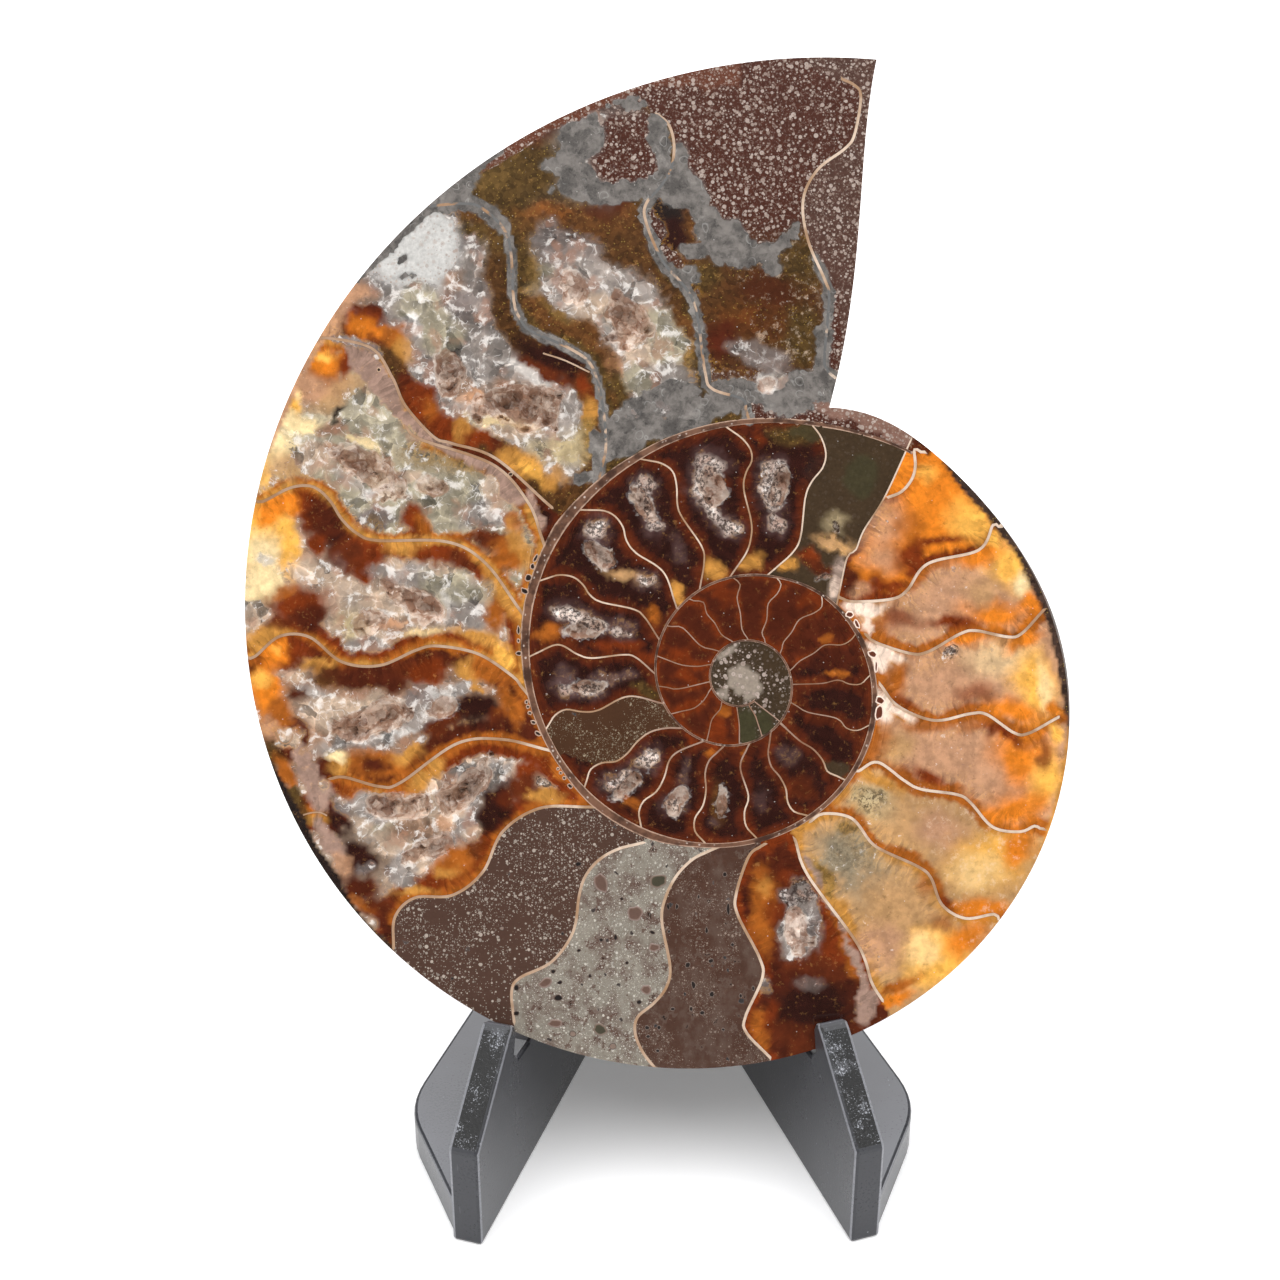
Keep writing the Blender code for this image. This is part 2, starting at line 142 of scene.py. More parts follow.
# Walls between chambers, along the spiral from the mouth inwards: O outside it, the others inside.
chamberWalls = {
    "O0": ((12.8, 75.2), (14.4, 74.4), (15.2, 73), (14.4, 68.3), (13.2, 66.5), (9.7, 63.8), (7.9, 60),
     (8.5, 55), (10.6, 50), (11.1, 47.8), (10.5, 40.6), (10.8, 38.8), (12.3, 37.4)),
    "O1": ((-10.2, 70.8), (-8.8, 69.4), (-8.2, 66.9), (-8.6, 64), (-9.9, 61.8), (-11.7, 59.7),
     (-11.8, 57.5), (-9.7, 52.5), (-5.9, 47.4), (-4.5, 38.8), (-3.6, 36.5), (0.2, 35.2), (0.6, 33.9)),
    "O2": ((-39.8, 59.3), (-34.8, 59.7), (-32.2, 59.1), (-29, 55.4), (-28.3, 47.5), (-27.5, 45.3),
     (-26.2, 43.8), (-21.4, 41.6), (-18.7, 39.5), (-17.4, 35.2), (-16.9, 29.6), (-17.5, 26.5)),
    "O3": ((-53.1, 42.5), (-51.8, 43), (-46.1, 41.7), (-43.5, 38), (-41.9, 34.5), (-38.4, 30.6),
     (-36.2, 29.8), (-30.7, 27.9), (-24, 22)),
    "O3b": ((-41.9, 31.9), (-40, 30.3), (-31, 27.1), (-26.6, 22.3), (-24.9, 17.8)),
    "O4": ((-61, 23), (-59.8, 22.6), (-56.6, 24.2), (-54.4, 24.6), (-52.8, 24.1), (-51.2, 22.5),
     (-49.9, 20.4), (-48, 18.6), (-45.4, 17.7), (-36.8, 17.5), (-32, 14.8), (-27.7, 8.9)),
    "O5": ((-62.1, 3.1), (-60.8, 3.3), (-57.7, 5.8), (-54, 5.7), (-50, 2.6), (-45.3, 2.1), (-40.7, 4),
     (-38, 4.5), (-33, 3.5), (-28.7, 0.7), (-27.7, -0.5)),
    "O6": ((-51.5, -12), (-49.7, -11.8), (-45.3, -13), (-42.7, -12.5), (-35.7, -7.7), (-30, -7.2),
     (-24.5, -8.5)),
    "O7": ((-43.7, -33.2), (-43.5, -29.3), (-41, -26.9), (-36.3, -26.6), (-32.5, -23.7), (-30, -18.7),
     (-25.3, -15.8), (-19, -15.7)),
    "O8": ((-28.7, -42.5), (-29, -38.7), (-28, -37), (-24, -35), (-21.3, -31.3), (-20.5, -26.7),
     (-19.7, -24.3), (-18, -22.3), (-15.7, -21), (-13, -20.3)),
    "O9": ((-11.2, -48.3), (-12.7, -46.3), (-13.6, -44), (-13.3, -42), (-11.3, -40.3), (-9.7, -38.3),
     (-9.2, -35.7), (-10.2, -30), (-9.7, -27), (-8.3, -24.3), (-6.3, -22.3), (-4.3, -21.3)),
    "O10": ((3.3, -47.2), (0.3, -44), (0.2, -42), (2.3, -37.3), (2, -34.7), (-0.7, -29.3), (-0.9, -26.7),
     (0.7, -22), (2.3, -20.7)),
    "O11": ((6.5, -19.9), (8.1, -24.4), (14.3, -33.1), (16, -37.8), (17.1, -39.7)),
    "O12": ((8.4, -17.7), (10.1, -16.7), (13.6, -17.3), (16, -20.3), (17.8, -21.5), (21.9, -23.4),
     (23.5, -24.8), (24.9, -28.2), (27.8, -29.9), (31.4, -29.4), (32, -30.1)),
    "O13": ((14.5, -11.4), (16.9, -10.3), (20.2, -12.6), (22.3, -13.7), (26.8, -14.4), (28.5, -15.4),
     (31.3, -18.5), (34.7, -19.1), (36.5, -18.4), (37.2, -18.7)),
    "O14": ((17.2, -0.5), (19.5, -3.3), (24, -5.1), (28.5, -4.3), (30.6, -4.4), (34, -6.7), (35.8, -6.8),
     (39.2, -5)),
    "O15": ((15.5, 5.7), (16.7, 4.7), (21, 3.3), (23.3, 3.5), (27.3, 5.7), (29.3, 6.1), (33.3, 5.3),
     (35, 5.7), (37.5, 8.3)),
    "O16": ((12.3, 10.3), (14, 9.8), (18.7, 10.1), (20.7, 11.2), (23.3, 14.5), (29.7, 16.2), (31.5, 19.3),
     (32.2, 19.1)),
    "O17": ((18.3, 22.8), (20, 23.5), (21.3, 25), (21.8, 26.7), (21.7, 28.8), (22.5, 28.5)),
    "B": ((21.5, 30.5), (18, 23), (15.3, 18.7), (14.3, 16.3), (13.2, 15.3), (12.2, 11)),
    "M1": ((9, 31.8), (10, 30.4), (10.6, 28.4), (10.2, 26.6), (8.8, 24.8), (8, 22.8), (7.4, 18), (6.4, 16),
     (4.2, 14)),
    "M2": ((-1.4, 31.4), (0.2, 30.2), (1.2, 28.8), (1.3, 27.4), (0.6, 26), (0.3, 24), (1.2, 20), (1.2, 18),
     (0.6, 16), (-1.1, 13.5)),
    "M3": ((-11.8, 27.6), (-10, 27.2), (-8.6, 26.2), (-8.1, 24.4), (-8, 22), (-7.4, 20.4), (-5, 16.8),
     (-4.7, 14.8), (-5.2, 11.8)),
    "M4": ((-19.2, 21.4), (-17.2, 21.3), (-15.8, 20.6), (-14.8, 19.2), (-14.4, 17.6), (-13.2, 16),
     (-9.8, 13.6), (-8.3, 9.6)),
    "M5": ((-24.6, 12.8), (-22.8, 13.3), (-21, 13), (-19.8, 12), (-19, 10.8), (-17.6, 9.9), (-13.6, 9),
     (-12.2, 8), (-10.5, 5.4)),
    "M6": ((-25.8, 3.5), (-23, 4.6), (-20.6, 3.4), (-18.8, 2.9), (-14.8, 3.3), (-13.2, 2.9), (-10.8, 0.8)),
    "M7": ((-24.2, -5.4), (-23.4, -4.2), (-22, -3.5), (-20, -3.8), (-18, -3.6), (-14.2, -1.9), (-10, -2.8)),
    "M8": ((-19.5, -12.4), (-19, -11), (-17.6, -10.2), (-15.8, -10), (-14.4, -9), (-13.2, -7.6),
     (-11.6, -6.4), (-9.6, -5.9), (-8, -5.9)),
    "M9": ((-12.8, -17.8), (-13, -16.4), (-12.4, -15), (-10.8, -13.8), (-9.8, -12), (-9.2, -10), (-8, -8.8),
     (-5, -7.6)),
    "M10": ((-5, -20), (-6, -18.8), (-6, -17.2), (-5, -15.6), (-4.6, -13.6), (-4.7, -11.6), (-4.2, -10),
     (-3, -8.8)),
    "M11": ((1.6, -19.6), (0.4, -18.2), (0.2, -16.4), (0.7, -14.4), (-0.3, -10.8), (0.6, -8.4)),
    "M12": ((8, -16.9), (6.4, -16.4), (5.6, -15.2), (5.4, -13.6), (4.6, -12), (3.6, -10.8), (3.2, -9.2),
     (3.4, -7.6)),
    "M13": ((11.8, -12), (10.6, -11.4), (10, -10), (8.8, -8.6), (7.2, -7.6), (5.2, -5.8)),
    "M14": ((16, -5.6), (14.4, -6.3), (13, -6), (11.8, -4.8), (8.2, -4), (6.8, -3.2)),
    "M15": ((15.8, 0.4), (14.8, -0.5), (13.4, -0.5), (12, 0), (10, -0.4), (6.8, -0.5)),
    "M16": ((14.4, 6), (13.6, 5), (12.4, 4.4), (10.4, 4.4), (9, 3.4), (7.2, 2.4), (6.4, 1.6)),
    "M17": ((10, 10.4), (10, 9.2), (9, 8.4), (7.2, 7.6), (6.2, 6), (5.2, 4.8), (5, 4)),
    "M18": ((4.4, 12.8), (4.9, 12), (4.4, 10.8), (3.3, 9.6), (3.1, 7.6), (2.5, 6), (2.8, 5.2)),
    "M19": ((-1, 12.8), (-0.2, 12), (-0.6, 10.4), (-0.2, 8.4), (0, 6.4), (0.6, 5.4)),
    "M20": ((-6, 10), (-4.8, 9.8), (-4.4, 8.4), (-3.4, 7.2), (-2.6, 5.8), (-1.4, 5)),
    "M21": ((-8.8, 6.8), (-7.4, 6.6), (-5.2, 4.4), (-3.6, 3.9)),
    "M22": ((-9.8, 2.8), (-7.6, 2), (-5.6, 1.8), (-4.2, 2)),
    "M23": ((-9.4, -0.8), (-8, -1), (-4.4, -0.2)),
    "M24": ((-7.6, -3.8), (-6, -3.4), (-4.8, -2.4), (-4.2, -1.4)),
    "M25": ((-4.2, -6.4), (-3.8, -4.8), (-2.8, -3.6), (-2.6, -2.8)),
    "M26": ((-0.4, -7.4), (-0.4, -5.6), (-0.6, -4)),
    "M27": ((2, -5.6), (1.6, -4.4), (1, -3.4)),
    "M28": ((5, -5.5), (4.4, -4.9), (3, -3.8), (1.6, -2.7)),
    "scrapA": ((-24.7, 41), (-22, 40.1), (-18.9, 38.6)),      # loose bits of chamber wall
    "scrapB": ((-58.3, -6.1), (-57.7, -7.3), (-56.9, -7.6), (-56.3, -7.1), (-56.1, -6.4)),
    "scrapC": ((-54.9, -16.5), (-53.8, -16.2), (-52.7, -16.2), (-51.9, -16.6)),
}


def smoothLine(points, step):
    # a curve through given points, sampled about every step mm
    knots = [2 * np.array(points[0]) - np.array(points[1])]
    knots += [np.array(p, float) for p in points]
    knots.append(2 * knots[-1] - knots[-2])
    samples = []
    for before, start, end, after in zip(knots, knots[1:], knots[2:], knots[3:]):
        count = max(2, int(np.linalg.norm(end - start) / step))
        t = np.linspace(0, 1, count, endpoint=False)[:, None]
        samples.append(0.5 * (2 * start + (end - before) * t
                              + (2 * before - 5 * start + 4 * end - after) * t**2
                              + (3 * start - before - 3 * end + after) * t**3))
    samples.append(np.array([knots[-2]]))
    return np.concatenate(samples)


def sideways(line, offset):
    # the line moved to its left
    along = np.gradient(line, axis=0)
    along /= np.linalg.norm(along, axis=1)[:, None]
    return line + np.stack([-along[:, 1], along[:, 0]], 1) * offset


def treeOf(points):
    # for finding the nearest of these flat points
    tree = kdtree.KDTree(len(points))
    for index, (x, y) in enumerate(points):
        tree.insert((x, y, 0), index)
    tree.balance()
    return tree


def softNoise(u, w, size, seed):
    # smooth noise from -1 to 1 with features about size mm across
    lattice = np.random.default_rng(seed).uniform(-1, 1, (tile, tile))
    x, y = np.asarray(u) / size, np.asarray(w) / size
    i, j = np.floor(x).astype(int), np.floor(y).astype(int)
    s, t = ease(x - i), ease(y - j)
    i0, i1, j0, j1 = i % tile, (i + 1) % tile, j % tile, (j + 1) % tile
    return ((lattice[i0, j0] * (1 - s) + lattice[i1, j0] * s) * (1 - t)
            + (lattice[i0, j1] * (1 - s) + lattice[i1, j1] * s) * t)


def crags(u, w, size, seed):
    # three octaves of soft noise
    return (softNoise(u, w, size, seed) + 0.55 * softNoise(u, w, size / 2.1, seed + 1)
            + 0.3 * softNoise(u, w, size / 4.3, seed + 2)) / 1.4


def grains(u, w, size, seed):
    # the crystal grain each point is in: offset from its middle, and three fixed numbers of it
    fixed = np.random.default_rng(seed).uniform(0, 1, (tile, tile, 5))
    x, y = np.asarray(u) / size, np.asarray(w) / size
    i, j = np.floor(x).astype(int), np.floor(y).astype(int)
    nearest = np.full(x.shape, 9.0)
    offset = np.zeros(x.shape + (2,))
    numbers = np.zeros(x.shape + (3,))
    for a in (-1, 0, 1):
        for b in (-1, 0, 1):
            own = fixed[(i + a) % tile, (j + b) % tile]
            dx, dy = x - (i + a + own[..., 0]), y - (j + b + own[..., 1])
            distance = dx * dx + dy * dy
            closer = distance < nearest
            nearest = np.where(closer, distance, nearest)
            offset[closer] = np.stack([dx, dy], -1)[closer] * size
            numbers[closer] = own[..., 2:][closer]
    return offset, numbers


# Crystal-lined hollows: centre u, w, half length, half width, tilt in degrees, depth.
hollows = (
    (-28.2, 34.4, 5.4, 2.6, -8, 3.6), (-36.6, 38.4, 2, 3.2, 10, 2.6),
    (-14.2, 45.2, 3.6, 2.5, -40, 2.8), (-20.5, 49.5, 3, 1.8, -60, 1.6),
    (-46.6, 26.6, 5.4, 1.9, -33, 3), (-38.5, 24.2, 2.6, 1.4, -10, 1.6),
    (-40.4, 9.8, 3.6, 2, -30, 2.6), (-46.5, 7.4, 2.6, 1.7, 20, 1.6),
    (-46.2, -4.6, 5.2, 2, 14, 3), (-37.4, -3.2, 2.3, 1.5, 30, 1.6),
    (-34.6, -13.6, 4.4, 2.2, 42, 3.2), (-43, -15.8, 4.2, 1.7, -6, 2.6),
    (-38.5, -20.6, 3.4, 1.7, 25, 2.2), (6.6, -30.6, 1.7, 3.4, 8, 1.5),
    (4.8, 24.4, 1.3, 3.3, -10, 1.7), (-3.6, 24.2, 1.3, 3.4, 12, 1.7),
    (-12.2, 22, 1.3, 3.1, 36, 1.5), (-17.6, 15.6, 1.2, 2.9, 62, 1.5),
    (-19.8, 6.6, 2.9, 1.1, 10, 1.3), (-19.2, -0.6, 2.6, 1, 0, 1.3),
    (-14.4, -13, 2.5, 1.1, 42, 1.4), (-8.2, -15, 1.1, 2.3, -24, 1.2),
    (-2.6, -15.2, 0.9, 2.1, -8, 1), (3.2, 37, 1.5, 1.2, 0, 0.8),
)
hollow = {
    "grain": 1.15, "facet": 0.34,           # crystals in the hollows, mm, and their slope
    "smallGrain": 0.5, "smallFacet": 1.6,   # of the grain, and of the slope
    "ragged": (0.42, 3.0), "finer": (0.14, 0.9),        # how uneven the rim is, and how big its bays
    "profile": ((0, 0.3, 0.62, 0.86, 1.0), (0.95, 0.88, 0.58, 0.22, 0.0)),
}
face = {
    "spacing": 0.26, "jitter": 0.2, "rowHeight": 0.866,      # finest grid on the cut face
    "corner": (-64, -51), "span": (112, 132),
    "lineStep": 0.42,          # points along the walls
    "outerWall": 0.175, "innerWall": 0.10, "centreWall": 0.07,      # half widths of the chamber walls
    "centreFrom": 13,          # number of the last wall of the thicker kind in the inner whorls
    # total angle, half width of the spiral wall, and how far it stands outside its line
    "spiralWall": ((60, 0.17, 0), (85, 0.30, 0), (115, 0.46, 0.05), (130, 0.60, 0.30), (140, 0.74, 0.55),
                   (150, 0.60, 0.45), (160, 0.60, 0.42), (175, 0.52, 0.22), (190, 0.46, 0.12),
                   (205, 0.42, 0.12), (218, 0.56, 0.28), (240, 0.52, 0.24), (255, 0.30, 0.05),
                   (300, 0.30, 0), (345, 0.36, 0), (375, 0.36, 0), (390, 0.25, 0), (425, 0.15, 0),
                   (700, 0.13, -0.06), (800, 0.12, -0.12)),
    "spiralFrom": 54.0, "spiralTo": 1022.0,
    "clear": 0.62, "leastClear": 0.21,      # free room beside a fixed line: grid spacings, mm
    "runStep": 0.1, "barrier": 0.36, "runOuter": 3.5, "runInner": 2.0,      # telling chambers apart
    "runOut": {"O6": 9.0, "O0": 7.0, "O1": 7.0, "scrapA": 0.2, "scrapB": 0.2, "scrapC": 0.2},
    "smallest": 12, "rounds": 12,      # triangles in the least chamber, and steps to fill the rest
}


def halfSpiral(angle):
    angles, halves, _ = zip(*face["spiralWall"])
    return np.interp(angle, angles, halves)


def spiralMiddle(angle):
    # radius of the middle of the spiral wall on the cut face
    angles, _, shifts = zip(*face["spiralWall"])
    return wallRadius(angle) + np.interp(angle, angles, shifts)


def nearestSpiral(points):
    # signed distance from the middle of the spiral wall, positive outside, and total angle
    radius = np.linalg.norm(points, axis=1)
    turn = np.degrees(np.arctan2(points[:, 1], points[:, 0]))
    best, at = np.full(len(points), 99.0), np.zeros(len(points))
    for lap in range(0, 5):
        angle = turn + turnDegrees * lap
        angle = angle + skewAt(angle, radius)
        off = radius - spiralMiddle(angle)
        usable = (angle > face["spiralFrom"]) & (angle < face["spiralTo"])
        closer = usable & (np.abs(off) < np.abs(best))
        best, at = np.where(closer, off, best), np.where(closer, angle, at)
    return best, at


def windingAt(u, w):
    # total angle of the spiral wall just outside each point
    turn, radius = np.degrees(np.arctan2(w, u)), np.hypot(u, w)
    found = turn.copy()
    for lap in range(1, 5):
        angle = turn + turnDegrees * lap
        found = np.where(wallRadius(angle) > radius, angle, found)
    return found


def meetSpiral(line):
    # the line run on at its end until it is inside the spiral wall
    step = (line[-1] - line[-4]) / np.linalg.norm(line[-1] - line[-4]) * face["runStep"]
    ahead = line[-1] + step * np.arange(0, 19)[:, None]
    off, at = nearestSpiral(ahead)
    inside = np.nonzero(np.abs(off) < halfSpiral(at) * 0.6)[0]
    if not len(inside):
        return np.concatenate([line, ahead[5:6]])
    if not inside[0]:
        return line
    return np.concatenate([line, ahead[4:inside[0]:4], ahead[inside[0]:inside[0] + 1]])


def ellipseAt(u, w, cu, cw, ru, rw, tilt):
    # 0 in the middle of a tilted ellipse, 1 on its edge
    c, s = math.cos(math.radians(tilt)), math.sin(math.radians(tilt))
    x, y = (u - cu) * c + (w - cw) * s, -(u - cu) * s + (w - cw) * c
    return np.sqrt((x / ru) ** 2 + (y / rw) ** 2)


def hollowDepth(u, w):
    # depth in the hollows with crystal facets, and 0 to 1 for how far inside one a point is
    (jag, bay), (finer, smallBay) = hollow["ragged"], hollow["finer"]
    jag = jag * crags(u, w, bay, 41) + finer * softNoise(u, w, smallBay, 44)
    offset, numbers = grains(u, w, hollow["grain"], 47)
    small, smallNumbers = grains(u, w, hollow["grain"] * hollow["smallGrain"], 48)
    slope = (offset * (numbers[..., :2] - 0.5)).sum(-1) * 2 * hollow["facet"]
    slope += (small * (smallNumbers[..., :2] - 0.5)).sum(-1) * hollow["smallFacet"] * hollow["facet"]
    depth, inside = np.zeros(u.shape), np.zeros(u.shape)
    for cu, cw, ru, rw, tilt, deep in hollows:
        rim = ellipseAt(u, w, cu, cw, ru, rw, tilt) * (1 + jag)
        sink = np.interp(rim, *hollow["profile"]) * deep
        sink *= 1 + 0.5 * (numbers[..., 2] - 0.5) * (deep > 1.2)
        depth = np.maximum(depth, sink)
        inside = np.maximum(inside, ease((1.15 - rim) / 0.5))
    depth = np.where(depth > 0, np.maximum(depth + slope * ease(depth / 0.5) * 1.3, 0.0), 0.0)
    return depth, inside


# turns in from the rim of the rows of the natural surface
rowTurns = ([0.0, 0.0025, 0.006, 0.011, 0.018, 0.027, 0.038] + [0.05 + 0.03 * k for k in range(25)]
            + [0.8] + [0.86 + 0.07 * k for k in range(13)] + [1.76, 1.8])


def makeOutline():
    # the cut edge: the shell's rim from the mouth round to the notch, then up the mouth
    angles = fossil["mouth"] + turnDegrees * np.arange(fossil["columns"] + 1) / fossil["columns"]
    rim = np.stack(onFace(angles, wallRadius(angles) + crustOn(angles)), 1)
    turns = rowTurns[1:rowTurns.index(fossil["innerEdge"]) + 1]
    mouth = flankPoints(np.full(len(turns), fossil["mouth"]), np.array(turns))[:, :2]
    return rim, mouth


def insideOutline(points, outline):
    # even-odd test against the outline
    inside = np.zeros(len(points), bool)
    for (ax, ay), (bx, by) in zip(outline, np.roll(outline, -1, axis=0)):
        crosses = (ay > points[:, 1]) != (by > points[:, 1])
        reach = (bx - ax) * (points[:, 1] - ay) / (by - ay if by != ay else 1e-12) + ax
        inside ^= crosses & (points[:, 0] < reach)
    return inside


def layWalls(outline):
    # the middle line and half width of every wall, and both of its sides as far as the outline
    lines, sides = {}, []
    for name, points in chamberWalls.items():
        half = face["outerWall"] if name[0] == "O" else face["innerWall"]
        half = face["centreWall"] if name[0] == "M" and int(name[1:]) > face["centreFrom"] else half
        line = smoothLine(points, face["lineStep"])
        if not name.startswith("scrap"):
            line = meetSpiral(line)
        if name[0] in "MB":
            line = meetSpiral(line[::-1])[::-1]
        lines[name] = (line, half)
        for offset in (-half, half):
            side = sideways(line, offset)
            side = side[np.argmax(insideOutline(side, outline)):]
            kept = insideOutline(side, outline)
            sides.append(side if kept.all() else side[:np.argmin(kept)])
    angles = [face["spiralFrom"]]
    while angles[-1] < face["spiralTo"]:
        angles.append(angles[-1] + math.degrees(face["lineStep"] / float(wallRadius(angles[-1]))))
    angles = np.array(angles)
    for offset in (-1, 1):
        side = np.stack(onFace(angles, spiralMiddle(angles) + offset * halfSpiral(angles)), 1)
        sides.append(side[insideOutline(side, outline)])
    return lines, sides


def loosePoints(outline):
    # a jittered grid, closer together in and around the hollows
    step, rise = face["spacing"], face["rowHeight"]
    columns, rows = int(face["span"][0] / step), int(face["span"][1] / (step * rise))
    i, j = np.meshgrid(np.arange(columns), np.arange(rows))
    chance = np.random.default_rng(5)
    u, w = (chance.uniform(-face["jitter"], face["jitter"], i.shape) * step for _ in range(2))
    u = face["corner"][0] + (i + 0.5 * (j % 2)) * step + u
    w = face["corner"][1] + j * step * rise + w
    column = i - (j - j % 2) // 2
    third = (column - j) % 3 == 0
    quarter = (column % 2 == 0) & (j % 2 == 0)
    # the speckled stone by the mouth and at the foot has no relief
    plain = ((u > -24) & (w > 40) & (w + 0.9 * u > 34)) | ((w < -24) & (u < 6) & (u > -36))
    keep = (hollowDepth(u, w)[1] > 0.02) | np.where(plain, quarter, third)
    loose = np.stack([u[keep], w[keep]], 1)
    return loose[insideOutline(loose, outline)]


def makeFaceMesh():
    rim, mouth = makeOutline()
    outline = np.concatenate([rim, mouth[::-1]])
    lines, sides = layWalls(outline)
    count = len(outline)
    edges = [(i, (i + 1) % count) for i in range(count)]
    for side in sides:
        edges += [(count + i, count + i + 1) for i in range(len(side) - 1)]
        count += len(side)
    fixed = np.concatenate([outline] + sides)
    near = treeOf(fixed)
    loose = loosePoints(outline)
    gap = np.array([near.find((x, y, 0))[2] for x, y in loose])
    loose = loose[gap > max(face["spacing"] * face["clear"], face["leastClear"])]
    print("face: points", count + len(loose), "fixed", count)
    found = delaunay_2d_cdt([Vector(p) for p in np.concatenate([fixed, loose])], edges, [], 1, 1e-5)
    flat = np.array([(v.x, v.y) for v in found[0]])
    rimIndex = np.full(len(outline), -1)
    for new, olds in enumerate(found[3]):
        for old in olds:
            if old < len(outline):
                rimIndex[old] = new
    return flat, np.array(found[2]), rimIndex, lines, len(rim)


def markFace(flat, triangles, lines):
    # which triangles are wall, what cell each of the others is in, and the nearest wall
    middle = flat[triangles].mean(1)
    names = list(lines)
    dense = []
    for line, _ in lines.values():
        t = np.linspace(0, len(line) - 1, (len(line) - 1) * 5 + 1)
        dense.append(np.stack([np.interp(t, np.arange(len(line)), line[:, k]) for k in (0, 1)], 1))
    tree = treeOf(np.concatenate(dense))
    owner = np.concatenate([np.full(len(line), k) for k, line in enumerate(dense)])
    arc = np.concatenate([np.concatenate([[0], np.cumsum(np.linalg.norm(np.diff(line, axis=0), axis=1))])
                          for line in dense])
    halves = np.array([half for _, half in lines.values()])

    def nearestWall(points):
        found = [tree.find((x, y, 0)) for x, y in points]
        index = np.array([f[1] for f in found])
        gap = np.array([f[2] for f in found])
        return gap - halves[owner[index]], arc[index], owner[index]

    gap, _, _ = nearestWall(middle)
    off, at = nearestSpiral(middle)
    isSpiral = np.abs(off) < halfSpiral(at)
    isWall = (gap < 0.01) & ~isSpiral
    # a chamber wall that stops short is run on, for telling the chambers apart
    barrier = []
    for name, line in zip(names, dense):
        for end, before in ((line[0], line[4]), (line[-1], line[-5])):
            step = (end - before) / np.linalg.norm(end - before) * face["runStep"]
            reach = face["runOut"].get(name, face["runOuter"] if name[0] == "O" else face["runInner"])
            barrier.append(end + step * np.arange(1, int(reach / face["runStep"]))[:, None])
    ahead = treeOf(np.concatenate(barrier))
    shut = np.array([ahead.find((x, y, 0))[2] for x, y in middle]) < face["barrier"]
    shut |= gap < face["barrier"] - face["innerWall"]
    # flood the rest, from triangle to triangle
    sides = np.sort(np.concatenate([triangles[:, [0, 1]], triangles[:, [1, 2]], triangles[:, [2, 0]]]), 1)
    key = sides[:, 0].astype(np.int64) * (len(flat) + 1) + sides[:, 1]
    order = np.argsort(key, kind="stable")
    same = key[order][1:] == key[order][:-1]
    left, right = order[:-1][same] % len(triangles), order[1:][same] % len(triangles)
    solid = isSpiral | isWall
    joined = ~(solid | shut)[left] & ~(solid | shut)[right]
    cell = np.arange(len(triangles))
    while True:
        lowest = np.minimum(cell[left[joined]], cell[right[joined]])
        before = cell.copy()
        np.minimum.at(cell, left[joined], lowest)
        np.minimum.at(cell, right[joined], lowest)
        cell = cell[cell]
        if (cell == before).all():
            break
    sizes = np.bincount(cell, minlength=len(cell))
    cell[solid | shut | (sizes[cell] < face["smallest"])] = -1
    for _ in range(face["rounds"]):          # what is left takes the chamber beside it
        near = ~solid[left] & ~solid[right]
        take = near & (cell[left] < 0) & (cell[right] >= 0)
        cell[left[take]] = cell[right[take]]
        take = near & (cell[right] < 0) & (cell[left] >= 0)
        cell[right[take]] = cell[left[take]]
    cell[solid] = -1
    return middle, isWall, isSpiral, cell, nearestWall


# What the chambers are filled with: colour, then how frosted (or, in stone, how full of pale
# grains), how much it is packed stone, and how much it is pyrite, each 0 to 1.
minerals = {
    "garnet": ("2a110c", 0, 0, 0), "mahogany": ("471c0d", 0, 0, 0), "chestnut": ("56240f", 0, 0, 0),
    "rust": ("6c2b0d", 0, 0, 0), "amber": ("97521a", 0, 0, 0), "bronze": ("57361a", 0, 0.2, 0),
    "orange": ("d2761f", 0, 0, 0), "gold": ("e6a84b", 0, 0, 0), "honey": ("b27c39", 0, 0, 0),
    "cream": ("e6cb98", 0.2, 0, 0), "tan": ("ae865b", 0.2, 0, 0), "blush": ("b08465", 0.25, 0, 0),
    "dew": ("867963", 0.3, 0, 0), "olive": ("4b371b", 0.05, 0.2, 0), "moss": ("74592f", 0.2, 0.2, 0),
    "lemon": ("b09d78", 0.35, 0, 0), "sage": ("9a907a", 0.75, 0, 0), "smoke": ("776a64", 0.8, 0, 0),
    "milk": ("b39b85", 0.9, 0, 0), "ice": ("8f847c", 1, 0, 0), "snow": ("c3bcb5", 1, 0, 0),
    "clay": ("8f705a", 0.7, 0, 0), "sugar": ("c4b2a7", 0.56, 0, 0), "haze": ("55403e", 0.3, 0, 0),
    "hoar": ("c2c0bc", 0.22, 1, 0), "umber": ("4a2f17", 0, 0.2, 0), "soot": ("231a17", 0, 0, 0),
    "heartStone": ("3a2e21", 0.34, 1, 0), "paleHeart": ("8d8174", 0.35, 1, 0),
    "pearl": ("94786a", 0, 0, 0), "lip": ("e2c9b6", 0, 0, 0), "shell": ("a58e80", 0, 0, 0),
    "darkShell": ("3b2c25", 0, 0.2, 0), "russetStone": ("45251c", 1, 1, 0),
    "rustStone": ("5f3627", 1, 1, 0), "plumStone": ("4c342c", 1, 1, 0),
    "oliveStone": ("3d2f20", 0.04, 1, 0), "mossStone": ("3b3724", 0.02, 1, 0),
    "crustStone": ("7b5c50", 0.7, 1, 0), "greyStone": ("857b70", 0.6, 1, 0),
    "pyrite": ("6c6b69", 0, 0, 1), "darkPyrite": ("4b4a48", 0, 0, 1),
}
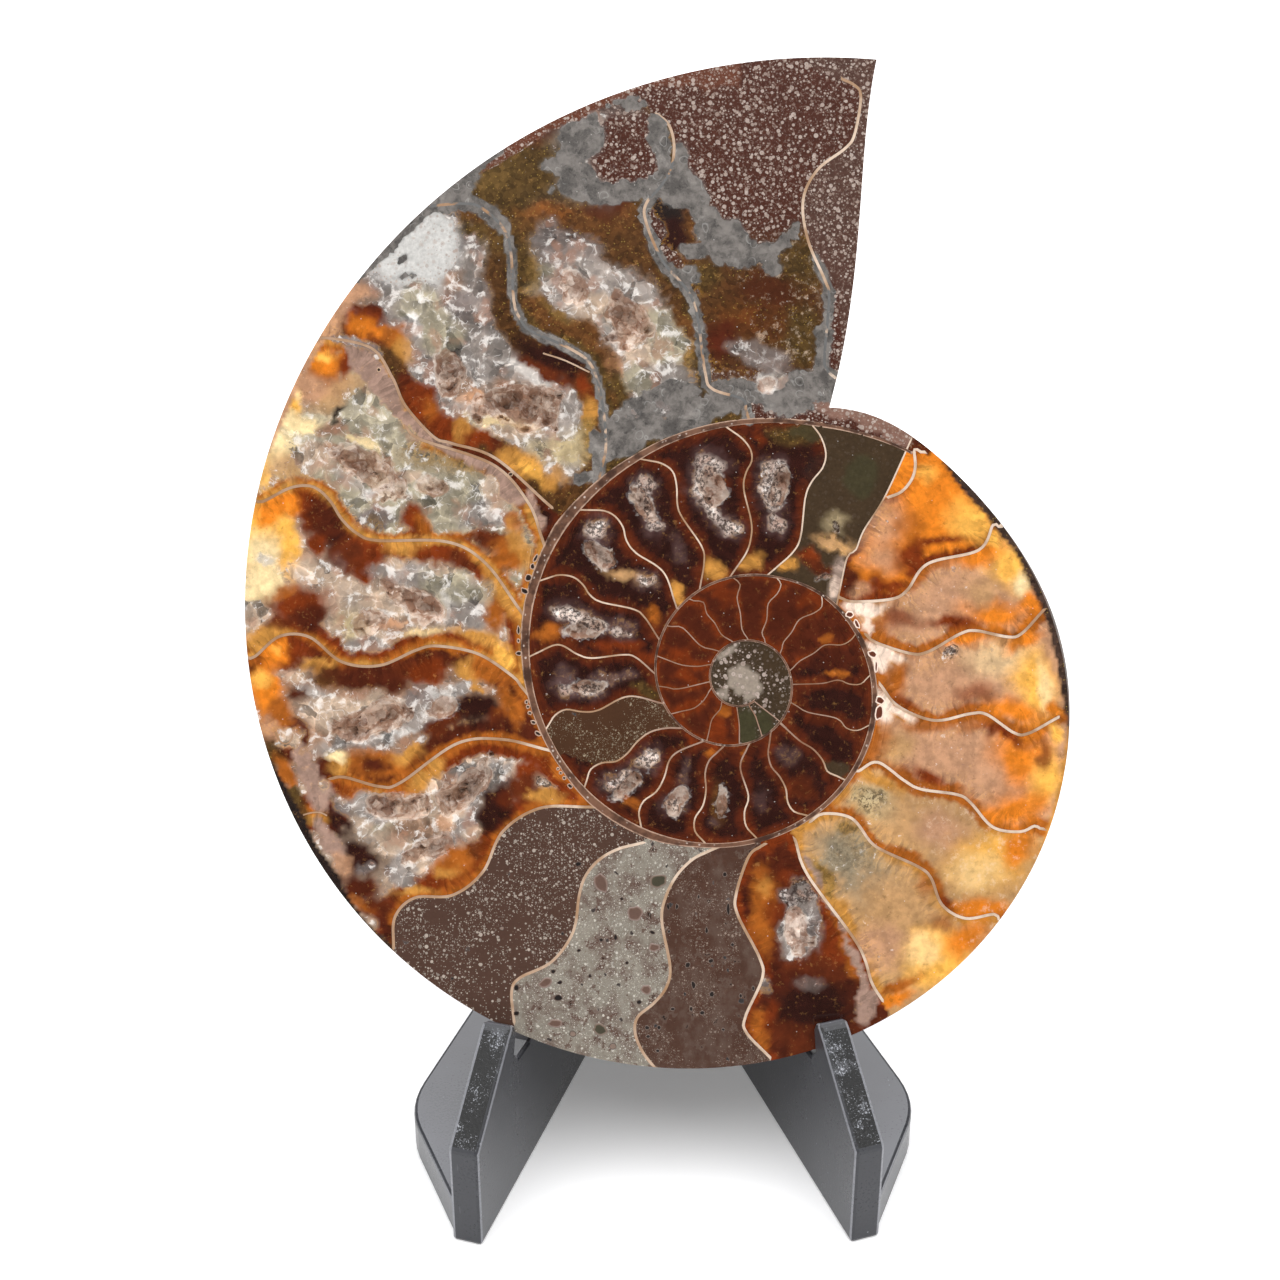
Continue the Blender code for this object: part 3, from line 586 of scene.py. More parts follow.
# a point in each chamber, its fill from its walls inwards (mineral, up to this distance)
chambers = {
    "c0": ((14.5, 55), (("plumStone", 99),)),
    "c1": ((0, 60), (("russetStone", 99),)),
    "c2": ((-20, 55), (("olive", 1.2), ("bronze", 3.4), ("ice", 99))),
    "c3": ((-32, 42), (("umber", 1.4), ("bronze", 2.6), ("ice", 99))),
    "c4": ((-50, 32), (("honey", 0.35), ("amber", 1.0), ("sage", 99))),
    "c5": ((-48, 12), (("honey", 0.25), ("amber", 0.9), ("rust", 2.0), ("milk", 99))),
    "c6": ((-45, -4), (("amber", 0.5), ("mahogany", 2.2), ("clay", 99))),
    "c7": ((-40, -18), (("amber", 0.7), ("rust", 2.2), ("milk", 99))),
    "c8": ((-30, -28), (("oliveStone", 99),)),
    "c9": ((-15, -36), (("greyStone", 99),)),
    "c10": ((-4, -36), (("plumStone", 99),)),
    "c11": ((7, -35), (("rust", 0.7), ("mahogany", 2.4), ("chestnut", 99))),
    "c12": ((18, -29), (("honey", 0.7), ("tan", 99))),
    "c13": ((25, -20), (("amber", 0.8), ("tan", 99))),
    "c14": ((29, -10), (("amber", 0.9), ("blush", 99))),
    "c15": ((30, 0), (("amber", 0.9), ("blush", 99))),
    "c16": ((27, 10), (("amber", 1.0), ("blush", 99))),
    "c17": ((22, 18), (("rust", 0.7), ("orange", 99))),
    "c18": ((20.3, 25.8), (("orange", 99),)),
    "m0": ((12, 25), (("oliveStone", 99),)),
    "m7": ((-19.4, -6), (("oliveStone", 99),)),
}
otherChambers = {
    "heartFrom": 629.0, "heart": (("heartStone", 99),),      # the stone middle, from this total angle on
    "innerFrom": 365, "inner": (("rust", 0.2), ("chestnut", 0.6), ("mahogany", 99)),
    "dark": (("chestnut", 0.25), ("mahogany", 0.9), ("garnet", 99)),
}
# Minerals laid over that at one spot: name, then for each u, w, two half sizes, tilt, share, softness.
patches = (
    # chamber 0 and 1, beside the mouth
    ("russetStone", (9.5, 52, 1.2, 5, -8, 0.6), (11.5, 44, 1.2, 6, -4)), ("umber", (2, 46.2, 9.6, 8.6)),
    ("olive", (7.8, 52.5, 3, 3.4)), ("bronze", (-5.6, 56, 3.2, 4.2, 12)), ("soot", (-8.9, 58.6, 1.6, 1.9)),
    ("garnet", (-8.4, 55.8, 1.4, 2.2, 15)), ("olive", (-4.8, 50.6, 2.2, 2)),
    ("mahogany", (3.6, 49, 4.5, 2.2, 0, 0.7)), ("amber", (-1.2, 45.8, 2.4, 1.5, 0, 0.15)),
    ("rust", (2.6, 44.8, 4.8, 2, 5, 0.2)), ("olive", (7.6, 43, 2.2, 4.2)),
    ("mahogany", (-2.2, 42.8, 2, 2.6)),
    ("smoke", (1.6, 40.6, 3.6, 1.5, -24, 0.8), (4.2, 39.4, 2, 1.3, 0, 0.8)),
    ("pyrite", (7, 35.8, 6.4, 2.5), (-1.6, 35.9, 4.4, 1.9), (10.2, 40.5, 0.9, 4.6),
     (-7.6, 62, 2.6, 1.9, 20), (-5.4, 60.4, 1.4, 2.6, 10), (-8, 60.2, 1.6, 0.8, -10), (-4, 57.6, 2, 2.3),
     (-1.8, 55.4, 2.6, 2.2, -10), (-5, 54.1, 2.8, 1.1), (-1, 53.2, 2.6, 1.5), (2.6, 53.8, 2.4, 1.3),
     (4, 52, 1.3, 1), (5.3, 54.6, 0.9, 0.8), (-6.2, 50.8, 1.5, 1.2, -20), (-7.4, 64.6, 1.2, 2.2, 0, 0.9)),
    ("snow", (3.4, 37.2, 1.7, 1.5, 20)), ("ice", (4.8, 37.6, 0.9, 1.1)),
    ("darkPyrite", (6.6, 55.9, 2, 0.7, 30, 0.7)),
    ("crustStone", (14, 33.2, 5.4, 1.3, -14), (19.4, 31.4, 3.6, 1.3, -28)),
    # chamber 2
    ("olive", (-28, 63.8, 7.4, 5, 30), (-24.5, 59.5, 8, 3.2, 0, 0.9)),
    ("moss", (-30.5, 63, 2.6, 1.6, 20, 0.35), (-28.2, 66.4, 2.2, 1, 30, 0.35)),
    ("mahogany", (-24.3, 68.4, 2.2, 1.2, 30, 0.7)), ("bronze", (-18, 57, 10, 2.6, -4)),
    ("amber", (-24.6, 58.6, 3.6, 0.9, 0, 0.25)),
    ("umber", (-13.6, 53.8, 4.4, 3.2, 20), (-9.6, 47.4, 2.2, 3.4, 32)),
    ("mahogany", (-16.5, 59.2, 3.4, 1, 0, 0.7)), ("bronze", (-6.8, 44.4, 1, 1.8, 20)),
    ("russetStone", (-13.8, 66.3, 5.3, 4.9, 0, 1, 0.25)),
    ("pyrite", (-19.8, 68.2, 2.5, 3.2, 10), (-20.2, 62.4, 2.6, 2.1), (-15.6, 61, 4, 1.3, -6),
     (-11.6, 61.6, 2.4, 1.3, 32), (-22, 65, 1.9, 1.5), (-24.2, 65.1, 1, 1), (-9.7, 66.8, 1.2, 4.6, 4),
     (-23.5, 61.7, 0.5, 0.7), (-29.5, 67.2, 4.8, 0.8, 34), (-36, 61.9, 4.2, 2.2, 42),
     (-25, 69.9, 2.6, 0.6, 30)), ("darkPyrite", (-13.2, 72.8, 5.4, 1.6, 14)),
    ("plumStone", (-14.5, 71, 3.4, 1, 0, 0.7)), ("snow", (-18.6, 72, 1.8, 0.7, 25)),
    ("smoke", (-24.4, 54, 2.6, 3.2, 10), (-20.6, 53.6, 3.4, 2.4, -10, 0.85)),
    ("sage", (-24.8, 49.8, 2.2, 2.2, -30, 0.9)),
    ("ice", (-22.6, 48.4, 3, 1.8, -20), (-18.4, 50.2, 4.2, 2.6, -20), (-13.6, 48.4, 4.4, 2.8, -38)),
    ("milk", (-18.4, 46, 3.4, 2.4, -20), (-12.6, 42.6, 5.6, 3.8, -40)),
    ("sage", (-9.2, 42.2, 2.4, 4.2, 22)), ("snow", (-16.6, 43, 1.2, 3, 36, 0.7)),
    ("ice", (-9.4, 37.8, 4, 2.4, 10)), ("clay", (-14.2, 45.2, 2, 1.4, -40)),
    ("sage", (-13, 37.6, 2.6, 1.6, 10)), ("blush", (-15.8, 39.8, 1, 2.2, 30, 0.8)),
    ("clay", (-12, 39.6, 0.7, 0.6)), ("olive", (-26.9, 52.4, 1.5, 3.6, 4)),
    ("moss", (-25.6, 51.5, 1, 2.6, -6, 0.6)), ("bronze", (-24.6, 46.2, 3.8, 1.5, -36)),
    ("moss", (-22.4, 45.6, 3, 0.6, -34, 0.7), (-6.1, 40.2, 0.7, 1.4, 0, 0.8)),
    ("bronze", (-19.2, 43.6, 2.4, 1.4, -36), (-16.6, 40.6, 1, 2.4, 20, 0.8)),
    ("olive", (-15.2, 36.4, 1, 2.4, 16)),
    ("pyrite", (-10.6, 34.4, 6.2, 2.2, 22), (-8.8, 32.4, 6.6, 1.9, 19), (-14.9, 29.8, 3.6, 1.7, 36),
     (-2.6, 34.4, 3, 1.3, 8)), ("darkPyrite", (-6.6, 33.4, 4, 0.5, 16, 0.7)),
    ("smoke", (-10, 33.6, 1.5, 1.5, 0, 0.7), (-13.6, 33.4, 1, 0.9, 0, 0.6)),
    # chamber 3
    ("olive", (-34, 56.4, 3.2, 1.8, -12)),
    ("smoke", (-34.6, 54.6, 2.6, 1.6), (-37.4, 57.6, 2, 2.2), (-45.4, 50.6, 2.4, 3.2, -45)),
    ("ice", (-34.2, 52.8, 2.2, 1.6)), ("hoar", (-40.8, 54, 5.8, 4.7, 40, 1, 0.5), (-38.6, 56, 3, 2.2, 40)),
    ("darkPyrite", (-42.2, 52.4, 0.8, 0.5, 0, 0.7), (-41.8, 50.2, 1.8, 0.4, 0, 0.6),
     (-44.6, 54.2, 1, 1, 45, 0.8)), ("olive", (-30.3, 52.8, 1.2, 2.6, 8, 0.9)),
    ("umber", (-30.7, 49.6, 1.7, 3.6), (-29.8, 45.4, 1.8, 2.8, 22), (-27.2, 42.6, 3.4, 1.7, -34)),
    ("olive", (-30, 55.5, 0.8, 1.4, 20, 0.8)),
    ("rust", (-39.8, 35.2, 1.6, 3.2, 34), (-35.4, 31.2, 4.6, 1.3, -22)),
    ("garnet", (-23.2, 40.4, 4.6, 1.5, -22)), ("chestnut", (-24, 38.9, 3.8, 0.9, -22)),
    ("rust", (-19.5, 36.6, 1, 1.6, 10)), ("honey", (-19.3, 33.2, 0.9, 2, 4)),
    ("moss", (-19.6, 30.6, 1.3, 2.6, 4)),
    ("lemon", (-21.6, 29.2, 2, 2.8, 10), (-24.6, 29, 2.6, 1.8, 0, 0.7)),
    ("ice", (-22.5, 33.4, 1.6, 3.2, 10, 0.8)), ("milk", (-28.6, 31.6, 4.4, 1.2, -6)),
    ("clay", (-27.4, 35.4, 4.8, 2.2, -8), (-35.4, 36.6, 2.4, 1.8, -20)),
    ("soot", (-24.6, 34, 1.8, 1.6, 0, 0.5)), ("cream", (-30.2, 32.6, 4, 0.8, -5, 0.8)),
    ("snow", (-26.6, 38.6, 3.2, 0.9, -30, 0.7)), ("blush", (-33.4, 35.3, 0.8, 1.3, -20)),
    ("smoke", (-37.2, 41, 2.4, 2.4, 0, 0.7)),
    ("sage", (-39.6, 46.6, 3, 2.2, -20), (-37, 43.8, 2.4, 3.2, 10)),
    ("smoke", (-35.4, 47.4, 1.6, 3, 8), (-32.8, 47.2, 1.6, 3.8, 8, 0.6)),
    ("clay", (-35.6, 50.6, 1.4, 1.6, -20, 0.7)), ("snow", (-41, 44.6, 2, 0.7, -30)),
    ("ice", (-40, 39.6, 1.2, 2.6, 24)), ("mahogany", (-46.6, 46.4, 2.6, 1.3, -20)),
    ("rust", (-47, 44.4, 2.9, 2, -15)),
    ("orange", (-47, 44, 1.8, 1.2, -10, 0.75), (-44.2, 43.6, 1.1, 0.8, -40, 0.7)),
    ("amber", (-43, 43.6, 1.4, 1.6, -30)), ("honey", (-41.6, 41.8, 1.3, 2, 20, 0.8)),
    ("mahogany", (-41.6, 37.6, 1.2, 1.4, 20)), ("rust", (-40.7, 34.8, 1.5, 2.3, 30)),
    ("amber", (-38.6, 33.6, 1, 1.6, 30, 0.7)), ("rust", (-37.2, 31.6, 1.8, 1.3, -30)),
    ("honey", (-34.6, 31.2, 1, 1.2, 0, 0.8)), ("rust", (-32.4, 30, 2, 1.2, -16)),
    ("mahogany", (-31.2, 29.6, 0.8, 1.1, 0, 0.8)), ("honey", (-27.6, 27.6, 2.8, 1.6, -30)),
    ("gold", (-26, 26.4, 2, 0.9, -40, 0.7)), ("honey", (-23.6, 25.4, 1.4, 1.2, 0, 0.8)),
    ("blush", (-50.6, 46.2, 1.6, 4.2, -34), (-48, 49, 2, 1.2, 40)),
    ("clay", (-46.4, 48.2, 1.6, 0.9, 30, 0.8)),
    ("pyrite", (-17.9, 28.8, 0.9, 2.8, 14), (-19.6, 25.4, 2, 0.8, 38)),
    # chamber 4, and the brown shell between its two walls
    ("blush", (-52.4, 37.2, 3.8, 2.4, -10)), ("tan", (-49, 36.4, 2.6, 1.8, 0, 0.8)),
    ("amber", (-52.2, 40.4, 3, 2.3)), ("orange", (-52.4, 40.6, 2, 1.5)),
    ("gold", (-52, 41, 1.1, 0.7), (-56.4, 35.4, 1.5, 2.6, 20)), ("rust", (-49.4, 39.6, 1.1, 1.8, 10)),
    ("amber", (-55, 39, 0.9, 0.9)), ("cream", (-55.8, 36.6, 0.8, 1.2, 20, 0.7)),
    ("sage", (-46.2, 33.6, 3.2, 3.2, -30), (-44, 30.6, 3.4, 2, -30)),
    ("tan", (-51.6, 34.6, 1.6, 1, 0, 0.8)),
    ("cream", (-54.6, 32.2, 3.4, 1.2, -12), (-58, 29.6, 2.6, 2), (-47, 29.6, 2.2, 0.5, -28, 0.8)),
    ("clay", (-51, 31.8, 1.9, 1.2, 20)), ("soot", (-50.4, 33.6, 1.2, 0.45, 38)),
    ("gold", (-59.6, 26.6, 1.4, 2.4, -10, 0.8)), ("tan", (-56.2, 27.2, 3, 1.8, 0, 0.8)),
    ("milk", (-52.8, 28.2, 2.6, 1.6)), ("clay", (-49.6, 28, 3, 1, -28)),
    ("moss", (-37.6, 27.6, 6, 1.5, -14, 0.55)), ("olive", (-34.6, 27, 1.6, 0.7, -10, 0.6)),
    ("ice", (-48.6, 25.2, 2.6, 1, -30, 0.8)), ("snow", (-45.2, 23.9, 3.4, 0.6, 22)),
    ("milk", (-42, 25.6, 2.4, 1.2)), ("smoke", (-45.4, 20.6, 2.8, 1.2, 4)),
    ("olive", (-46.2, 20, 1.4, 0.6, 0, 0.6)), ("rust", (-40.6, 20.4, 1.7, 1.8)),
    ("amber", (-39.4, 19.8, 1.2, 1)), ("sage", (-35.6, 22.6, 4.2, 2.8, -12)),
    ("ice", (-32, 20.8, 3.2, 1.8)), ("milk", (-30.6, 24.2, 2.2, 2.4, 30)), ("amber", (-34.8, 18.6, 2, 0.7)),
    ("chestnut", (-31.2, 17.8, 3.4, 1.2, -8)),
    ("amber", (-29, 15.6, 1.8, 2.2, 30), (-28.2, 20, 1.2, 1.6, 0, 0.9)),
    ("honey", (-27.6, 16.6, 1, 3.4, 16, 0.8)), ("clay", (-34, 21.9, 0.6, 0.4, 0, 0.7)),
    ("pearl", (-46, 38.4, 1.7, 5.4, 42, 1, 0.15), (-41.6, 32.4, 1, 3.4, 46, 1, 0.15),
     (-33.6, 28.5, 6.6, 1.4, -22, 1, 0.2), (-28.2, 24.6, 2.6, 1.9, -50, 1, 0.2),
     (-25.6, 21.4, 1, 3.4, 12, 1, 0.2)),
    # chamber 5
    ("gold", (-60.6, 18, 2.4, 4.4)), ("orange", (-58.4, 21.6, 2.2, 1.8, 20)),
    ("gold", (-57, 18.8, 1.3, 2.6)), ("cream", (-60, 16.2, 2.4, 2.6), (-59.6, 12.2, 2.6, 2.2)),
    ("gold", (-56.4, 15.6, 1.2, 2.6)), ("snow", (-59.6, 15.4, 1.2, 0.8, -20, 0.6)),
    ("orange", (-55.6, 22.2, 1.6, 1.6)), ("rust", (-53.8, 21, 1.8, 3, 8)),
    ("mahogany", (-51.8, 19.4, 2.2, 3.6, 14)), ("garnet", (-50.2, 16.4, 1.8, 2.2)),
    ("rust", (-53.4, 17, 1.2, 1.6), (-47.4, 15.8, 3, 2.4, -8)), ("chestnut", (-49.6, 15.2, 2.2, 2.4)),
    ("rust", (-46.6, 13.4, 1.8, 1.2)), ("milk", (-53, 13.4, 3.6, 1.6, -16)),
    ("smoke", (-50.6, 14.4, 1.6, 1.2, 0, 0.25)), ("milk", (-49, 11.4, 3.4, 2, -30)),
    ("rust", (-55.4, 9.6, 4, 2.7)), ("mahogany", (-53.6, 8, 2.2, 1.6, -10)),
    ("amber", (-57.2, 11.4, 1.4, 0.8, 20, 0.8)), ("milk", (-60.2, 8.8, 1.3, 1.6)),
    ("honey", (-59.6, 5.6, 2.6, 1.2, 22)), ("chestnut", (-57.4, 7.2, 2, 0.9, 0, 0.8)),
    ("ice", (-40.6, 13.2, 5, 1.6, -8)), ("milk", (-44, 10.6, 3, 2.2)), ("sage", (-36.6, 11.6, 4, 2.4, -18)),
    ("clay", (-39.8, 9.8, 3.4, 1.1, -34)), ("snow", (-35.8, 9.2, 2.4, 0.8, -40, 0.7)),
    ("ice", (-34.6, 8.2, 2.8, 2, 20)), ("lemon", (-48.2, 6.9, 1.9, 1.9)), ("ice", (-46.6, 4.6, 2.8, 1)),
    ("blush", (-43.6, 7.6, 2.2, 0.8, 10)), ("clay", (-43, 6.2, 1.6, 0.9)),
    ("cream", (-39.4, 6.2, 2.4, 0.6, 6, 0.8)), ("honey", (-41.6, 16.4, 2.8, 0.9)),
    ("rust", (-37.4, 15.8, 3.4, 1.3, -4)), ("chestnut", (-34.6, 14.8, 1.6, 1.2, -20)),
    ("honey", (-30, 11.4, 1.3, 3.6, 26)), ("amber", (-31.4, 8.6, 1.4, 2.2, 10)),
    ("sage", (-32.4, 11.6, 1.2, 1.6, 0, 0.6)), ("honey", (-33, 5.4, 3.6, 1, -14)),
    ("gold", (-29.6, 3.6, 1, 1.6, 30)),
    # chamber 6
    ("rust", (-57, 3.6, 4, 2.2, 6)), ("orange", (-58.6, 3.8, 1.8, 1.6), (-59.4, -1.2, 2.4, 3.2)),
    ("gold", (-58.6, 4.2, 0.7, 0.6, 0, 0.6), (-60.2, 0.2, 1.3, 1.2, 0, 0.8)),
    ("amber", (-57.4, -3.8, 1.6, 2, -10)), ("milk", (-56.6, 1.2, 2, 0.6, -6)),
    ("mahogany", (-55, -1.4, 1.5, 1.5)), ("honey", (-52.6, 2.2, 2.6, 0.7, 20)),
    ("bronze", (-51.4, 0.6, 2.4, 1.2)), ("chestnut", (-44, 1.6, 7.6, 1.4)),
    ("mahogany", (-46, 0.4, 5.4, 1.3, -4)), ("rust", (-39.4, 1.4, 2.4, 1.6)),
    ("honey", (-34.4, 1.4, 1.6, 1.6)), ("amber", (-31.8, 1.2, 2, 1.2, -20)),
    ("ice", (-52.2, -1.6, 3.4, 0.8, -28)), ("milk", (-50.2, -4.2, 5, 2.2, -14)),
    ("clay", (-46.6, -4.6, 3.8, 1, 2)), ("milk", (-46, -2.6, 4.4, 0.9, 2)),
    ("ice", (-48, -7.4, 5.2, 1.1, 8)), ("snow", (-42.4, -6.2, 2.6, 0.6, 10)),
    ("smoke", (-40.4, -2, 2.8, 1.4, 20)), ("ice", (-40.2, -4.8, 2.6, 1.5)),
    ("snow", (-36.8, -1.6, 2.2, 1.3, 20)), ("ice", (-35.2, -0.8, 1.6, 1)),
    ("garnet", (-33.4, -3.6, 3.6, 1.9, 2)),
    ("chestnut", (-30.4, -4.6, 1.6, 1.2), (-37.8, -5.6, 2.6, 0.9, 20)), ("honey", (-33.4, -0.8, 1, 0.7)),
    ("amber", (-29.2, -3, 1.4, 2.4, 20), (-45.2, -10.2, 5, 1.7, 2)), ("mahogany", (-46.4, -10.4, 1.7, 1)),
    ("honey", (-41.8, -9.2, 2, 1, 10), (-50.4, -10.6, 1.3, 1), (-38.2, -10.2, 1, 1, 30)),
    ("cream", (-50.8, -9.2, 1.4, 0.6, -20)), ("olive", (-58.4, -8.8, 1, 2.2, 26)),
    ("amber", (-57.2, -11.2, 0.9, 2.6, 24)), ("pearl", (-54.2, -10.6, 1.4, 3.6, 22)),
    ("milk", (-56.6, -6.6, 1.8, 1.2)), ("blush", (-58.8, -5.6, 1.4, 1.2, 0, 0.8)),
    ("clay", (-54.6, -8.4, 0.8, 0.6, 0, 0.7)),
    # chamber 7
    ("amber", (-44.6, -13.8, 5.4, 1.1, -4)),
    ("honey", (-39.2, -12.6, 2.2, 1.6, 30), (-46.4, -14.4, 1.6, 0.7, 0, 0.8)),
    ("milk", (-42.6, -16.8, 5.2, 2.2)), ("ice", (-46.2, -15.8, 3.4, 1.4, -30)),
    ("smoke", (-50, -15.2, 1.6, 0.8, -40)), ("sage", (-44, -18.8, 3, 1.4, 0, 0.8)),
    ("clay", (-41, -18.4, 3.6, 1.3)), ("milk", (-42.8, -20.6, 4.6, 1.3, -14)),
    ("ice", (-37, -20.2, 3, 0.9, 34)), ("blush", (-37.4, -18.2, 0.9, 1.2, 0, 0.8)),
    ("clay", (-36.2, -14.6, 1.6, 1.6, 30)),
    ("ice", (-32.6, -11, 4.4, 1, 12), (-31.4, -13.2, 2.4, 1, 46), (-34.4, -16.6, 1.2, 3, -28),
     (-42.6, -23.6, 1.6, 2.4, 20)), ("smoke", (-33.4, -12.4, 2, 0.9, 34), (-34, -17, 0.9, 1.3, 0, 0.7)),
    ("milk", (-37.8, -13.8, 1.5, 1.8, -20), (-40.6, -22.6, 1.8, 1.2)),
    ("garnet", (-30.6, -15.6, 2.2, 2.8, -36), (-31.8, -17.8, 1.6, 1.4), (-50.4, -17.4, 1.3, 2.6, 16),
     (-48, -21.9, 3.6, 2.1, -20)), ("chestnut", (-27.6, -13.2, 2.4, 2.2, 20)),
    ("rust", (-27, -11.2, 1.6, 0.9), (-29.6, -15.4, 1.2, 0.9, 0, 0.5)), ("honey", (-25, -14.4, 2.2, 0.8)),
    ("smoke", (-47.2, -22.8, 1.4, 0.6, 10, 0.7)), ("mahogany", (-47.4, -25.4, 3, 1.8, -30)),
    ("chestnut", (-45.6, -28.2, 2, 1.6, -30)),
    ("amber", (-47.6, -27.4, 1.6, 0.6, -40, 0.8), (-36.2, -22.8, 3.8, 1.8, 36)),
    ("mahogany", (-44.6, -31, 0.8, 2.4, 10)), ("rust", (-38.6, -24.8, 2.2, 0.9, 10)),
    ("honey", (-37, -23.8, 1.4, 0.7, 0, 0.8), (-41.2, -26.3, 2.6, 0.5, 8)),
    ("chestnut", (-33.6, -21.2, 1.2, 1.4, 0, 0.8)), ("olive", (-56.6, -13.6, 1, 2.2, 24)),
    ("pearl", (-53, -13.6, 1.6, 2.4, 20)), ("milk", (-52.4, -12.8, 0.8, 0.8, 0, 0.7)),
    ("honey", (-53.4, -16.9, 1.5, 0.9)), ("pearl", (-51.8, -19.6, 1.3, 3.4, 28)),
    ("blush", (-50.2, -22.8, 0.8, 1.8, 36, 0.8)), ("olive", (-55.4, -15.6, 0.8, 2, 30, 0.8)),
    # chamber 11
    ("amber", (2.4, -26.4, 1.6, 3.6), (2, -31.4, 1.5, 2.4, 10), (12.4, -30.8, 1.1, 3, 24)),
    ("honey", (2.6, -25.6, 0.9, 1.4, 0, 0.6)), ("rust", (3.4, -29.2, 1.2, 1.4, 0, 0.7)),
    ("mahogany", (5.8, -23.6, 3, 1.6), (6, -37.4, 3.4, 1.6)), ("rust", (5.2, -24.4, 1.4, 0.8, 0, 0.6)),
    ("ice", (7.2, -27.6, 2, 2.4, 10), (6.6, -32, 2, 2.6)),
    ("smoke", (5.2, -27, 1, 1.2, 0, 0.8), (8.6, -31, 1.2, 2.6, 20, 0.8), (3, -37.6, 1, 1.2, 0, 0.8)),
    ("snow", (6.6, -30.6, 0.9, 1.6, 0, 0.8)), ("rust", (11.2, -32.6, 1.2, 2.4, 20)),
    ("amber", (13.2, -35.4, 0.8, 2.2, 12, 0.8)), ("garnet", (8.4, -41, 5.4, 3.6)),
    ("chestnut", (5.6, -44.2, 4, 1.4, 0, 0.7)), ("smoke", (8.4, -37.6, 1.8, 0.8, 0, 0.5)),
    ("amber", (2.2, -43.6, 1.1, 2.4, 14)), ("rust", (3.4, -42, 1, 1.8, 0, 0.8)),
    ("pearl", (8.6, -23.4, 0.5, 2.6, 24, 1, 0.2), (11.6, -29.4, 0.5, 3, 34, 1, 0.2),
     (14, -35.4, 0.8, 3.6, 14, 1, 0.2), (15.2, -40.6, 1.3, 2.6, 10, 1, 0.2)),
    # the golden chambers on the right
    ("dew", (12.6, -21.4, 3.4, 3.8, -30), (16.4, -25.8, 4.2, 3.2, -40, 0.9)),
    ("tan", (19.2, -29.4, 5.4, 4.8, -50)), ("blush", (16.6, -33.4, 3, 2.8, 0, 0.9)),
    ("gold", (24, -35, 4.2, 3.2, 35)), ("cream", (22.6, -34.2, 2.6, 1.8, 30, 0.5)),
    ("orange", (28, -32, 2.8, 1.5, 42)),
    ("amber", (25, -30.4, 1.4, 1.2, 0, 0.7), (19.4, -38.2, 3.2, 0.8, 20), (23.2, -25.2, 1, 1.8, 10, 0.7)),
    ("orange", (19, -40.2, 2.4, 0.9, 20)),
    ("moss", (10.2, -24.6, 0.7, 3.4, 28), (13.2, -18.2, 1.6, 0.6, 0, 0.8)),
    ("honey", (12.8, -29.4, 0.8, 2.4, 30)), ("lemon", (16.6, -15.6, 3.4, 1.8, -24)),
    ("tan", (21.6, -18.2, 4.4, 2.6, -24)), ("blush", (25.2, -19.2, 3, 2.6, -20), (24, -8.6, 5.4, 2.4, -4)),
    ("gold", (31, -22.6, 4.6, 3.4, 10)), ("cream", (29.4, -24, 2.8, 2.2, 0, 0.5)),
    ("orange", (34.4, -21.2, 1.8, 2.6, -30), (29.8, -28.6, 3.6, 1.1), (34.6, -10, 3.6, 3.4)),
    ("rust", (25.2, -28, 1.4, 0.9, -30)),
    ("amber", (24.4, -25.6, 0.7, 1.8, 10, 0.8), (20, -22.2, 2.2, 0.6, -24)),
    ("honey", (16.6, -12.6, 3.4, 0.9, -34), (12.6, -14.2, 1.6, 1, 0, 0.8)), ("tan", (19.4, -8.4, 2, 1.8)),
    ("amber", (17, -7.6, 1.6, 1.6, 0, 0.8)), ("gold", (37.8, -12.6, 1.6, 3.2, -14)),
    ("blush", (30.4, -12.4, 2.6, 2.4, 0, 0.9), (24.6, 1.4, 4.6, 2.8), (22.2, 9.2, 4.4, 2.2, 8),
     (27.4, 12.2, 4.8, 2.2, 14), (17.6, 19.4, 2.4, 3.6, -30, 0.85)),
    ("rust", (32.4, -7, 3.2, 0.8, -18), (23.4, -12.4, 2.6, 0.8, -20), (37.4, -9.8, 0.7, 1.3, 0, 0.8)),
    ("orange", (33.6, -16.4, 3.6, 1.6, 10), (36.6, -15.6, 1.4, 1.8, -20, 0.8)),
    ("gold", (39.2, -7.2, 0.9, 1.2)),
    ("amber", (29, -5.8, 2, 0.8, 0, 0.7), (21.4, -5.8, 2, 0.7, 0, 0.7), (19.2, 0.4, 1.4, 2.4)),
    ("cream", (32.4, 2.6, 3.8, 2.4, 0, 0.5)),
    ("gold", (36.6, -0.6, 2.4, 4.2, 8), (33.4, 14.4, 2.2, 3.4, 26)),
    ("cream", (37.8, -1, 0.9, 2.6, 8, 0.7), (34.8, 11.8, 0.9, 1.3)),
    ("orange", (34, -4, 3.4, 1.5, -12), (35, 4.8, 2.4, 1, 30), (27, 4.9, 3, 0.7), (38.8, -3.6, 0.6, 1.2),
     (29.8, 15.4, 3, 0.9, 24), (32, 8, 4, 1.4, -6), (36.2, 9.6, 1.4, 1.4), (20.8, 12, 2, 1, 40, 0.8)),
    ("rust", (29, -2, 2.6, 1.3, 0, 0.7), (20.4, -2.4, 1.8, 0.8, -30, 0.8), (26, 6.9, 3.4, 0.8, 6),
     (19.6, 7.4, 2.2, 1.2, 0, 0.8)), ("snow", (26.4, 3.4, 0.7, 1, 0, 0.6)),
    ("amber", (17, 6.8, 1.4, 1.2, 0, 0.8)), ("tan", (30.2, 11, 2.2, 1.8, 0, 0.8)),
